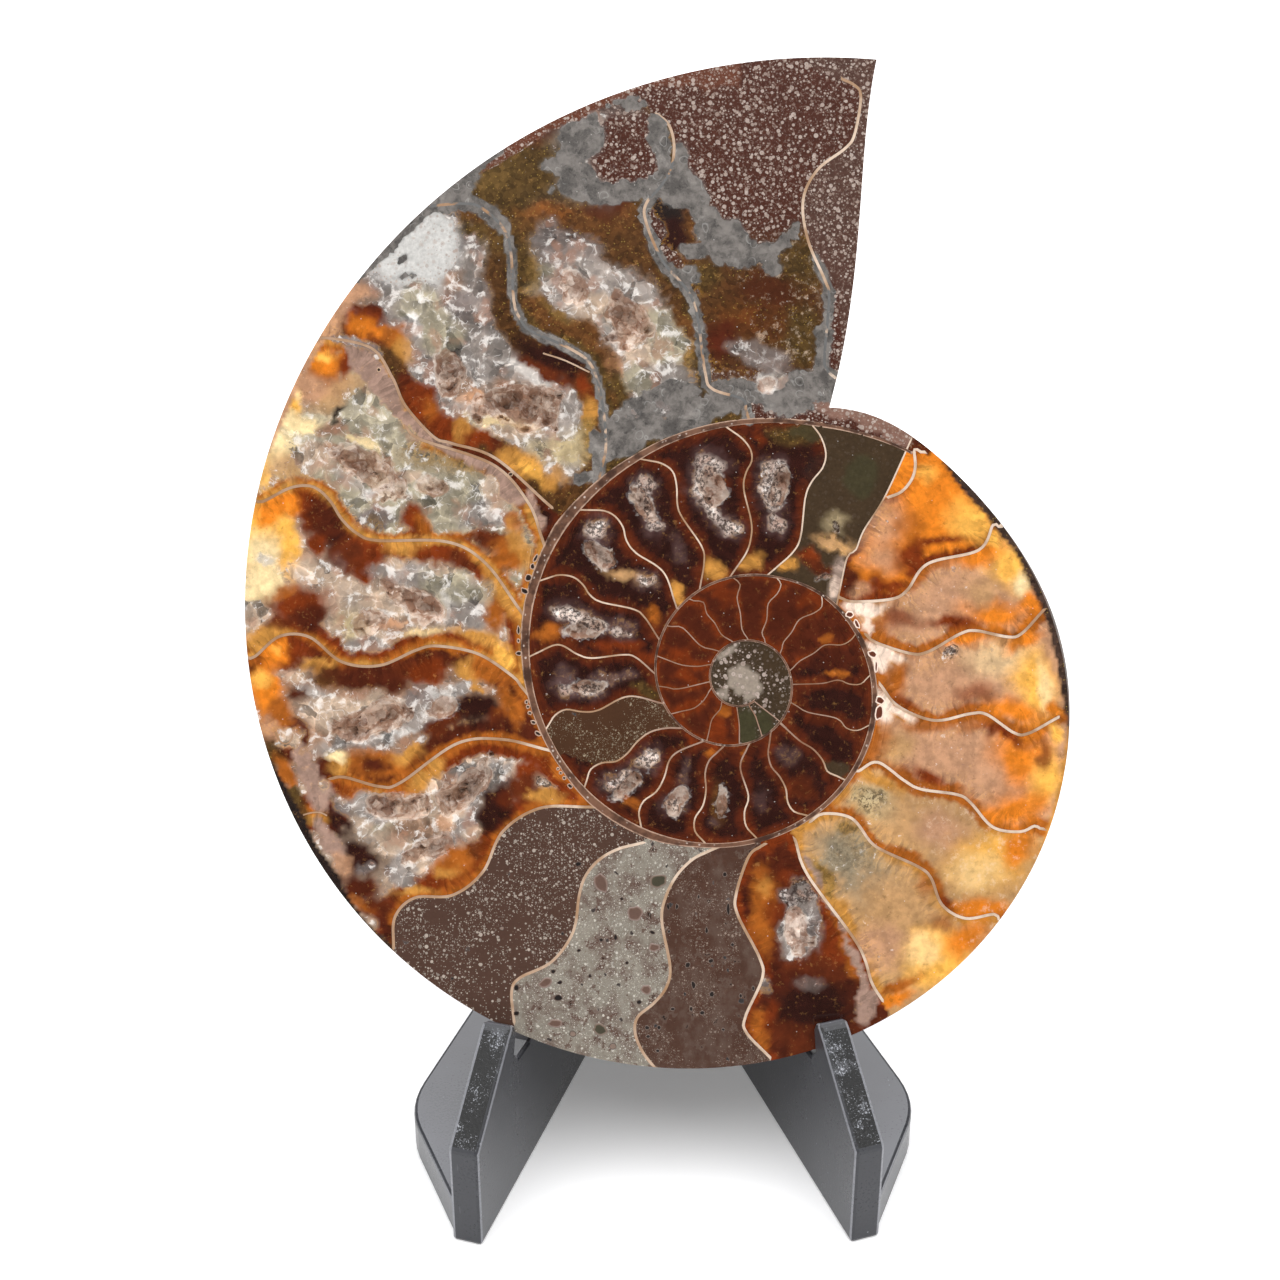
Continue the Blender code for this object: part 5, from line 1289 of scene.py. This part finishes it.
class Finish(Nodes):
    # one material, starting from its plain shader
    def __init__(self, name, **fixed):
        self.material = bpy.data.materials.new(name)
        self.material.use_nodes = True
        super().__init__(self.material.node_tree)
        self.surface = self.tree.nodes["Principled BSDF"]
        for socket, value in fixed.items():
            self.surface.inputs[socket.replace("_", " ")].default_value = value

    def out(self, **sockets):
        for name, value in sockets.items():
            self.tree.links.new(value.link, self.surface.inputs[name.replace("_", " ")])
        return self.material

    def place(self):
        # object coordinates in millimetres
        return self.scale(self.add("ShaderNodeTexCoord", output="Object"), 1 / mm)

    def attribute(self, name):
        shade = self.add("ShaderNodeAttribute", {"attribute_name": name}, output="Color")
        return shade, shade.also("Alpha")

    def fibre(self):
        # how far along the nearest wall, and how far from it
        return self.split(self.add("ShaderNodeUVMap", {"uv_map": "fibre"}))[:2]

    def facets(self, vector, size):
        # a shade across each grain as if it leant its own way, and a fixed number of each grain; painted
        # into a colour it is painted shade, in a bump it is relief
        middle = self.cells(vector, size, "Position")
        own = middle.also("Color")
        offset = self.vector("SUBTRACT", self.scale(vector, 1 / size), self.scale(middle, 1 / size))
        lean = self.vector("SUBTRACT", own, (0.5, 0.5, 0.5))
        return self.vector("DOT_PRODUCT", offset, lean, output="Value"), self.split(own)[0]

    def bump(self, height, distance, strength):
        return self.add("ShaderNodeBump", None,
                        {"Height": height, "Distance": distance * mm, "Strength": strength})


calciteLook = {
    "paintedGlint": "e0a860", "feather": "ecd2b6", "speck": "9c7f3c", "tips": "b08035", "lost": "2c140c",
    "cool": "95918f", "warm": "a5745a", "snow": "efe9e3", "vein": "f1ece7",
    "grain": ("857268", "b7a89e"), "grainHeart": "7a675c", "powder": "a08b7f",
    "pyrite": ("4e4a47", "7c7671"), "pyritePaintedSheen": "aaa49e", "pyriteRing": "a8a6a2",
    "druse": ("a07c66", "dcc6b5"), "lip": "e2d3c6", "paintedSparkle": "d8d2cd",
    "block": 2.9, "chip": 1.3,                # size of the milky blocks and of the lesser ones, mm
    "grains": ((0.95, 0.20, 0.16), (0.70, 0.20, 0.18), (0.42, 0.18, 0.18)),    # size, least, more
    "laceTo": 29.5,                           # from the first chamber to the end of the lacy frost
}


def grainPacked(f, place, tint, frost, fine, broad):
    # stone packed with pale grains
    look = calciteLook
    packed = f.scale(tint, 0.42 + fine * 0.90 + broad * 0.28)
    crowd = f.between(f.noise(place, 6.0, 3, 0.6), 0.30, 0.52)
    for size, least, more in look["grains"]:
        middle, own, shade = f.grains(place, size)
        rim = own * more + least
        kept = f.between(shade * 0.6 + crowd * 0.5 + (frost - 1) * 0.3, 0.38, 0.46)
        disc = f.between(middle, rim, rim - 0.07) * kept * f.between(frost, 0, 0.4)
        pale = f.mix(*look["grain"], shade)
        pale = f.mix(pale, look["grainHeart"], f.between(middle, 0.12, 0.04) * 0.6)
        packed = f.mix(packed, pale, disc * 0.9)
    powder = f.between(f.noise(place, 0.32, 3, 0.7), 0.52, 0.66) * f.between(frost, 0.0, 0.8)
    return f.mix(packed, look["powder"], powder * 0.45)


def pyriteSkin(f, place, warped, fine, broad):
    # smooth and grey, darker in small pits, with patches of painted sheen and broken bright rings
    look = calciteLook
    mottled = f.noise(warped, 1.9, 5, 0.7)
    metal = f.mix(*look["pyrite"], f.between(mottled, 0.34, 0.68))
    pits = f.between(f.noise(place, 0.5, 4, 0.72), 0.53, 0.62) * f.between(mottled, 0.56, 0.44)
    metal = f.mix(metal, f.scale(metal, 0.4), pits * 0.8)
    # painted sheen: patches mixed towards a pale grey as a painted highlight on the metal
    paintedSheen = f.between(f.noise(place, 3.6, 5, 0.7), 0.56, 0.74)
    metal = f.mix(f.scale(metal, 0.75 + fine * 0.5), look["pyritePaintedSheen"], paintedSheen * 0.5)
    ring = f.ridge(f.cells(warped, 1.6), 0.34, 0.05, 0.01)
    return f.mix(metal, look["pyriteRing"], ring * f.between(broad, 0.5, 0.6) * 0.4), mottled


def calciteFinish():
    look = calciteLook
    f = Finish("polished_calcite", Coat_Roughness=0.04, Specular_IOR_Level=0.35)
    place = f.place()
    tint, frost = f.attribute("tint")
    kinds, calm = f.attribute("kinds")
    stone, pyrite, cave = f.split(kinds)
    along, away = f.fibre()
    fine = f.noise(place, 0.5, 4, 0.65)
    broad = f.noise(place, 3.4, 3, 0.55)
    busy = 1 - calm * 0.85
    # clear calcite: columns standing on the chamber wall, clouds, painted glints and dark seams
    near = f.between(away, 3.4, 1.0) * busy
    wander = along + (f.noise(place, 1.6) - 0.5) * 1.2
    standing = f.add("ShaderNodeCombineXYZ", None, {0: wander * 2.4, 1: away * 0.34})
    column = f.split(f.cells(standing, 1, "Color"))[0]
    cloudy = f.between(f.noise(place, 1.5, 4, 0.62), 0.32, 0.68)
    depth = cloudy * (0.10 + busy * 0.30) + broad * 0.42 + fine * 0.22
    clear = f.scale(tint, 0.52 + (column - 0.5) * near * 0.42 + depth)
    # painted glints: spots made brighter and golden, standing in for light caught inside the crystal
    paintedGlint = f.between(f.noise(place, 0.8, 5, 0.75), 0.56, 0.72)
    clear = f.mix(clear, f.mix(f.scale(clear, 1.6), look["paintedGlint"], 0.35), paintedGlint * (0.15 + busy * 0.35))
    seam = f.between(f.noise(place, 0.9, 4, 0.7), 0.42, 0.28)
    clear = f.mix(clear, f.scale(clear, 0.45), seam * (0.12 + busy * 0.45))
    feather = f.noise(place, 1.2, 6, 0.78)
    golden = f.between(calm, 0.64, 0.84)
    clear = f.mix(clear, look["feather"], f.between(feather, 0.53, 0.66) * golden * 0.325)
    clear = f.mix(clear, f.scale(clear, 0.72), f.between(feather, 0.46, 0.34) * golden * 0.7)
    # granular in places, with gold specks
    granular = f.between(stone, 0.05, 0.18)
    grit, gold, _ = f.split(f.cells(place, 0.55, "Color"))
    clear = f.mix(clear, f.scale(clear, 0.40 + grit * 0.9 + fine * 0.3), granular * 0.75)
    glitter = granular * f.between(f.cells(place, 0.40), 0.28, 0.16) * f.between(gold, 0.5, 0.7)
    clear = f.mix(clear, look["speck"], glitter * 0.6)
    # milky calcite: glassy blocks, each with its own tone and a painted shade across it as if it leant its
    # own way, frosted towards their edges
    warped = f.warped(place, 2.6, 2.5, 1.7)
    lean, block = f.facets(warped, look["block"])
    lesser, chip = f.facets(warped, look["chip"])
    rim = f.between(f.cells(warped, look["block"], feature="DISTANCE_TO_EDGE"), 0.16, 0.0)
    smallRim = f.between(f.cells(warped, look["chip"], feature="DISTANCE_TO_EDGE"), 0.15, 0.0)
    patchy = f.noise(warped, 2.4, 5, 0.66)
    haze = f.between(patchy, 0.36, 0.66)
    # the leans of blocks and chips are painted facet shade; block and chip give each its own tone
    blockToneAndShade = lean * 0.90 + lesser * 0.44 + (block - 0.5) * 0.50 + (chip - 0.5) * 0.26
    edges = haze * 0.22 + rim * haze * 0.36 + smallRim * haze * 0.18
    frosty = f.scale(tint, 0.67 + blockToneAndShade + edges + fine * 0.18)
    cool = f.noise(place, 3.0, 3, 0.5)
    frosty = f.mix(frosty, look["cool"], f.between(cool, 0.54, 0.68) * 0.18)
    frosty = f.mix(frosty, look["warm"], f.between(cool, 0.48, 0.36) * 0.42)
    burst = f.noise(warped, 1.5, 4, 0.66)
    frosty = f.mix(frosty, look["snow"], f.between(burst + rim * 0.12 + lesser * 0.25, 0.57, 0.74) * 0.60)
    vein = f.ridge(f.noise(warped, 2.0, 2, 0.5), 0.52, 0.016, 0.002)
    frosty = f.mix(frosty, look["vein"], vein * f.between(burst, 0.44, 0.56) * 0.5)
    frosty = f.mix(frosty, f.scale(tint, 0.50), f.between(burst + lean * 0.2, 0.43, 0.31) * 0.55)
    crack = f.ridge(f.noise(warped, 1.6, 3, 0.6), 0.47, 0.02, 0.002)
    frosty = f.mix(frosty, f.scale(tint, 0.42), crack * f.between(patchy, 0.50, 0.38) * 0.5)
    # frost starts where the two are uneven, not along a soft line, with gold at the tips
    wisp = f.noise(place, 0.7, 5, 0.75)
    torn = (fine - 0.5) * 0.4 + (column - 0.5) * near * 0.4 + (patchy - 0.5) * 0.5 + (wisp - 0.5) * 1.5
    ragged = frost + torn
    edge = f.between(ragged, 0.38, 0.58)
    tips = f.between(ragged, 0.14, 0.34) * near * f.between(frost, 0.05, 0.2)
    clear = f.mix(clear, f.mix(f.scale(clear, 1.5), look["tips"], 0.5), tips * 0.55)
    base = f.mix(clear, frosty, edge * busy + frost * calm * 0.25)
    stoneMask = f.between(stone + (fine - 0.5) * 0.3, 0.46, 0.60)
    base = f.mix(base, grainPacked(f, place, tint, frost, fine, broad), stoneMask)
    # pyrite ends in scallops
    scallops = (f.cells(warped, 0.7) - 0.4) * 0.45 + (fine - 0.5) * 0.5
    metalMask = f.between(pyrite + scallops, 0.44, 0.54)
    metal, mottled = pyriteSkin(f, place, warped, fine, broad)
    base = f.mix(base, metal, metalMask)
    # the hollows: sandy brown druse, paler or darker in patches and, grain by grain, with a painted facet
    # shade, and a pale broken lip
    sandy = f.mix(f.mix(base, look["druse"][0], 0.72), f.mix(base, look["druse"][1], 0.66),
                  f.between(patchy + (lesser + lean) * 0.35, 0.38, 0.60))
    sandy = f.scale(sandy, 0.92 + (chip - 0.5) * 0.3 + fine * 0.3)
    base = f.mix(base, sandy, f.between(cave, 0.25, 0.8) * 0.85)
    lip = f.between(cave, 0.02, 0.25) * f.between(cave, 0.75, 0.35)
    base = f.mix(base, look["lip"], lip * f.between(patchy, 0.42, 0.56) * 0.5)
    # a painted shadow line at the foot of the walls, and dark gaps in the frost
    base = f.mix(base, f.scale(base, 0.5), f.between(away, 0.10, 0.0) * (1 - metalMask) * 0.6)
    gaps = f.between(f.noise(place, 0.5, 5, 0.75), 0.53, 0.46) * f.between(frost, 0.26, 0.36)
    gaps = gaps * f.between(f.fromHeart(place), look["laceTo"], look["laceTo"] - 1) * (1 - golden)
    shut = (1 - stoneMask) * (1 - metalMask)
    base = f.mix(base, f.mix(f.scale(base, 0.25), look["lost"], 0.6), gaps * shut * 0.9)
    # painted sparkles: tiny near-white highlights scattered over the calcite
    base = f.mix(base, look["paintedSparkle"], f.specks(place, 0.9, (0.10, 0.05), (0.70, 0.74)) * 0.55)
    icy = edge * busy
    height = fine * 0.4 + (lean * 3.0 + lesser * 1.6) * (icy + cave) + mottled * metalMask * 0.4
    return f.out(Base_Color=base, Coat_Weight=0.35 - icy * 0.2 - cave * 0.15,
                 Roughness=0.15 + icy * (1 - stoneMask) * 0.20 + cave * 0.30 + metalMask * 0.14,
                 Normal=f.bump(height * (icy * 0.75 + cave * 0.6 + 0.08), 0.09, 0.55))


wallLook = {
    "pale": ("dcc5b0", "a78567"),
    "side": "a07a5a", "middle": "7d5644", "right": "9a7453",       # browner towards these
    "pyrite": "666564",
}


def wallFinish():
    # the thin walls between chambers, broken up where pyrite has grown over them
    look = wallLook
    f = Finish("chamber_wall", Roughness=0.25, Coat_Weight=0.3)
    place = f.place()
    fine = f.noise(place, 0.5, 3, 0.6)
    pyrite = f.split(f.attribute("kinds")[0])[1]
    across = f.split(place)[0]
    reach = f.fromHeart(place)
    pale = f.mix(*look["pale"], f.between(f.noise(place, 5.0, 3), 0.40, 0.62))
    pale = f.mix(pale, look["side"], f.between(across, -24, -31) * 0.55)
    pale = f.mix(pale, look["middle"], f.between(reach, 16, 11) * 0.7)
    pale = f.mix(pale, look["right"], f.between(reach, 26, 30) * f.between(across, 14, 4) * 0.45)
    lost = f.between(pyrite, 0.3, 0.7) * f.between(f.noise(place, 2.6, 3, 0.6), 0.56, 0.46)
    grown = f.scale(look["pyrite"], 0.8 + fine * 0.4)
    return f.out(Base_Color=f.mix(f.scale(pale, 0.70 + fine * 0.46), grown, lost))


spiralLook = {"inside": ("765340", "40281d"), "lips": "bf9f89", "beads": "d3c2b6"}


def spiralFinish():
    # the wall between the whorls: brown and a little glassy inside, with pale lips where it is thick
    look = spiralLook
    f = Finish("spiral_wall", Roughness=0.3, Coat_Weight=0.25)
    place = f.place()
    fine = f.noise(place, 0.45, 4, 0.65)
    broad = f.noise(place, 2.2, 4, 0.6)
    off = abs(f.fibre()[1])
    wobble = off + (f.noise(place, 0.9, 3, 0.6) - 0.5) * 0.5
    base = f.mix(*look["inside"], f.between(broad, 0.36, 0.64))
    base = f.mix(base, look["lips"], f.between(wobble, 0.62, 0.92) * f.between(broad, 0.66, 0.48) * 0.85)
    beads = f.between(f.cells(place, 0.8), 0.24, 0.12) * f.between(off, 0.6, 0.3)
    return f.out(Base_Color=f.scale(f.mix(base, look["beads"], beads * 0.7), 0.70 + fine * 0.5))


def spotFinish():
    f = Finish("spot_stone", Roughness=0.3, Coat_Weight=0.25)
    place = f.place()
    tone = 0.62 + f.noise(place, 0.3, 4, 0.7) * 0.5 + f.noise(place, 0.9) * 0.3
    return f.out(Base_Color=f.scale(f.attribute("tint")[0], tone))


# Fine stones: their colours, the size and share of the pale grains and of the dark pits, how
# mottled they are, and the colour and stretch of their clouds.
stones = {
    "freckled_stone": {"ground": "48332a", "pale": "ada195", "dark": "1b120f",
                       "grains": (0.75, 0.40), "pits": (2.6, 0.08)},
    "blotched_stone": {"ground": "817a6f", "pale": "beb8ad", "dark": "2c201a",
                       "grains": (0.55, 0.42), "pits": (1.5, 0.34), "mottle": 0.9,
                       "clouds": "574038", "stretch": (1.0, 1.0, 0.8)},
    "pitted_stone": {"ground": "462f25", "pale": "8d7c70", "dark": "1b1310",
                     "grains": (0.45, 0.18), "pits": (1.8, 0.26), "mottle": 0.6,
                     "clouds": "5a483f", "stretch": (1.0, 1.0, 0.7)},
    "olive_stone": {"ground": "432b1b", "pale": "93856f", "dark": "140f0b",
                    "grains": (0.45, 0.24), "pits": (2.0, 0.05)},
    "rough_stone": {"ground": "4b2c22", "pale": "a09285", "dark": "231a16",
                    "grains": (0.62, 0.6), "pits": (2.0, 0.1)},
}


def grainyStone(name):
    # fine stone with pale grains in clusters and dark pits, each ringed by a lighter halo
    look = stones[name]
    f = Finish(name, Roughness=0.2, Coat_Weight=0.3, Coat_Roughness=0.06)
    place = f.place()
    fine = f.noise(place, 0.35, 4, 0.7)
    broad = f.noise(place, 4.5, 4, 0.6)
    mottle = look.get("mottle", 0.42)
    base = f.scale(look["ground"], 0.90 - mottle * 0.5 + fine * mottle + broad * 0.3)
    if "clouds" in look:
        streaks = f.noise(f.vector("MULTIPLY", place, look["stretch"]), 2.6, 5, 0.68)
        base = f.mix(base, look["clouds"], f.between(streaks, 0.42, 0.66) * 0.75)
        island = f.noise(place, 1.7, 5, 0.66)
        base = f.mix(base, look["clouds"], f.between(island, 0.575, 0.60) * 0.8)
        base = f.mix(base, look["dark"], f.between(island, 0.655, 0.68) * 0.85)
    crowd = f.between(f.noise(place, 5.5, 3, 0.7), 0.38, 0.60)
    size, share = look["grains"]
    for smaller, moved in ((1, 0.0), (0.62, 7.1), (0.38, 3.7), (0.24, 5.3)):
        middle, own, shade = f.grains(f.vector("ADD", place, (moved,) * 3), size * smaller)
        spot = f.between(middle + (fine - 0.5) * 0.10, own * 0.32 + 0.05, own * 0.32 - 0.03)
        kept = f.between(own * 0.55 + shade * 0.2 + crowd * 0.45, 1 - share, 1.04 - share)
        base = f.mix(base, f.scale(look["pale"], 0.55 + shade * 0.6), spot * kept * 0.85)
    size, share = look["pits"]
    pit, own, _ = f.grains(f.warped(place, 0.9, 3, 1.1), size)
    chosen = f.between(own, 1 - share, 1.01 - share)
    base = f.mix(base, f.scale(base, 1.3), f.between(pit, 0.34, 0.20) * chosen * 0.5)
    deep = f.between(pit + (fine - 0.5) * 0.16, 0.19, 0.13) * chosen
    return f.out(Base_Color=f.mix(base, look["dark"], deep), Roughness=0.2 + deep * 0.4,
                 Normal=f.bump(fine * 0.3 - deep, 0.12, 0.5))


shellLook = {
    "ground": ("3b2f26", "6a5443"),
    # colour, the size, detail and roughness of its noise, from and to which level, how strong
    "patches": (("8f7a66", 2.4, 5, 0.70, 0.54, 0.74, 0.5), ("2c2b23", 8.0, 5, 0.62, 0.48, 0.66, 0.7),
                ("6e3a22", 10.0, 4, 0.60, 0.50, 0.68, 0.5)),
}


def shellFinish():
    # the natural outside of the shell, worn brown with olive and pale patches
    f = Finish("natural_shell", Specular_IOR_Level=0.4)
    place = f.place()
    fine = f.noise(place, 0.6, 5, 0.65)
    base = f.mix(*shellLook["ground"], f.noise(place, 9.0, 4, 0.6))
    for code, size, detail, rough, low, high, strength in shellLook["patches"]:
        base = f.mix(base, code, f.between(f.noise(place, size, detail, rough), low, high) * strength)
    return f.out(Base_Color=f.scale(base, 0.6 + fine * 0.75), Roughness=0.34 + fine * 0.3,
                 Normal=f.bump(fine + f.noise(place, 2.0, 3) * 0.6, 0.18, 0.6))


# foot is dust and painted sheen, top is painted shade, stipple is painted highlights with dust, edge is a
# painted highlight
plasticLook = {
    "ground": ("323337", "424347"), "foot": "696a70", "top": "030304", "stipple": "b9bcc4",
    "edge": "98999f", "specks": "9a9da3", "scuff": "6c6d72",
}


def plasticFinish():
    # glossy black moulding: satin faces; slanted tops painted near black as painted shade, with worn
    # patches, stipple and painted highlight specks; dust and painted sheen on the feet; painted highlights
    # on the bevels
    look = plasticLook
    f = Finish("black_plastic", Specular_IOR_Level=0.33)
    place = f.place()
    across, _, up = f.split(f.add("ShaderNodeTexCoord", output="Normal"))
    top = f.between(up, 0.66, 0.73) * f.between(up, 0.90, 0.82)
    foot = f.between(up, 0.95, 0.99)
    edge = f.between(abs(across), 0.36, 0.46) * f.between(abs(across), 0.90, 0.80)
    stipple = f.noise(place, 0.35, 3, 0.6)
    grit = f.noise(place, 0.22, 4, 0.75)
    waves = f.noise(place, 9.0)
    worn = f.noise(place, 3.2, 4, 0.65)
    specks = f.specks(place, 1.1, (0.13, 0.05), (0.80, 0.84))
    scuff = f.between(f.noise(f.vector("MULTIPLY", place, (1.0, 1.0, 0.15)), 0.5), 0.68, 0.76)
    base = f.mix(*look["ground"], stipple)
    # the upward faces of the feet painted lighter: dust, and painted sheen of the bright room above
    base = f.mix(base, look["foot"], foot * (0.55 + waves * 0.6))
    # the slanted tops painted near black: painted shade, darker than the other faces, left grey in worn
    # patches
    base = f.mix(base, look["top"], top * f.between(worn, 0.66, 0.56))
    # pale specks on the slanted tops: painted highlights on the stipple, together with light dust
    base = f.mix(base, look["stipple"], top * f.between(grit + (worn - 0.5) * 0.5, 0.60, 0.67) * 0.8)
    # the bevels painted lighter: a painted highlight along each edge
    base = f.mix(base, look["edge"], edge * (0.35 + stipple * 0.6))
    base = f.mix(base, look["specks"], specks * 0.7)
    base = f.mix(base, look["scuff"], scuff * 0.3)
    return f.out(Base_Color=base, Roughness=0.20 + stipple * 0.10 + waves * 0.08 + specks * 0.4,
                 Normal=f.bump(stipple * (1 + top * 2) + waves * 3 + worn * top * 3, 0.03, 0.5))


studio = {
    "floor": 6,                               # m across
    "cameraPlace": (-0.00484, -0.21275, 0.16464), "cameraTurn": (65, 0, -0.65), "lens": 52.57,
    "aim": (0, 0, 0.06),
    "skyStrength": 0.45,                      # the room, bright above and along the horizon
    "sky": ((0.0, 1.0), (0.08, 0.9), (0.22, 0.18), (0.55, 0.22), (0.85, 1.0)),      # height, light
    "sides": (0.62, 0.9),                     # and to both sides, which the stand's flanks reflect
    "lamps": (("window_left", (-0.65, -0.42, 0.50), 0.5, 1.4),        # place, size, watts
              ("window_right", (0.65, -0.42, 0.50), 0.5, 1.2),
              ("window_back", (0, 1.05, 0.85), 0.9, 9.0)),
    "ceiling": 3.0, "ceilingSpread": 70, "ceilingTurn": (8, 0, 0),
}


def putInRoom(name, data, place, turn):
    thing = bpy.data.objects.new(name, data)
    scene.collection.objects.link(thing)
    thing.location, thing.rotation_euler = place, turn
    return thing


def degrees(*angles):
    return [math.radians(a) for a in angles]


def stageScene():
    bpy.ops.object.select_all(action="DESELECT")
    bpy.ops.mesh.primitive_plane_add(size=studio["floor"], location=(0, 0, 0))
    floor = bpy.context.object
    floor.name = "floor"
    finish = Finish("white_floor", Roughness=0.7, Base_Color=colour("f6f6f7"),
                    Emission_Color=(1, 1, 1, 1), Emission_Strength=0.20)
    floor.data.materials.append(finish.material)
    scene.world = bpy.data.worlds.new("soft_room")
    scene.world.use_nodes = True
    room = Nodes(scene.world.node_tree)
    across, _, up = room.split(room.add("ShaderNodeTexCoord", output="Generated"))
    stops = [(height, (light, light, light, 1)) for height, light in studio["sky"]]
    sky = room.add("ShaderNodeValToRGB", {"stops": stops}, {0: up})
    light = room.mix(sky, "ffffff", room.between(abs(across), *studio["sides"]))
    backdrop = room.tree.nodes["Background"].inputs
    room.tree.links.new(light.link, backdrop["Color"])
    backdrop["Strength"].default_value = studio["skyStrength"]
    for name, place, size, watts in studio["lamps"]:
        lamp = bpy.data.lights.new(name, "AREA")
        lamp.size, lamp.energy = size, watts
        towards = Vector(studio["aim"]) - Vector(place)
        putInRoom(name, lamp, place, towards.to_track_quat("-Z", "Y").to_euler())
    ceiling = bpy.data.lights.new("ceiling", "SUN")
    ceiling.energy, ceiling.angle = studio["ceiling"], math.radians(studio["ceilingSpread"])
    putInRoom("ceiling", ceiling, (0, 0, 0), degrees(*studio["ceilingTurn"]))
    camera = bpy.data.cameras.new("camera")
    camera.lens, camera.sensor_width, camera.clip_start = studio["lens"], 36, 0.01
    scene.camera = putInRoom("camera", camera, studio["cameraPlace"], degrees(*studio["cameraTurn"]))
    scene.view_settings.view_transform = "Standard"
    print("room, lamps and camera placed")


stageScene()
fossilPiece = makeFossil()
stoneFinishes = {"c8": "freckled_stone", "c9": "blotched_stone", "c10": "pitted_stone",
                 "m7": "olive_stone", "mouth": "rough_stone"}
madeFinishes = {"calcite": calciteFinish, "wall": wallFinish, "spiral": spiralFinish,
                "shell": shellFinish}
for name in slots:          # in the order of their numbers
    finish = madeFinishes[name]() if name in madeFinishes else grainyStone(stoneFinishes[name])
    fossilPiece.data.materials.append(finish)
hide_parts("ammonite_half")
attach(fossilPiece, "root")
print("fossil finished in", len(slots), "materials")
spotPiece = makeSpots()
spotPiece.data.materials.append(spotFinish())
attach(spotPiece, "root")
plastic = plasticFinish()
for node in ("stand_left", "stand_right"):
    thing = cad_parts[node]
    thing.data.materials.clear()
    thing.data.materials.append(plastic)
print("stand finished")
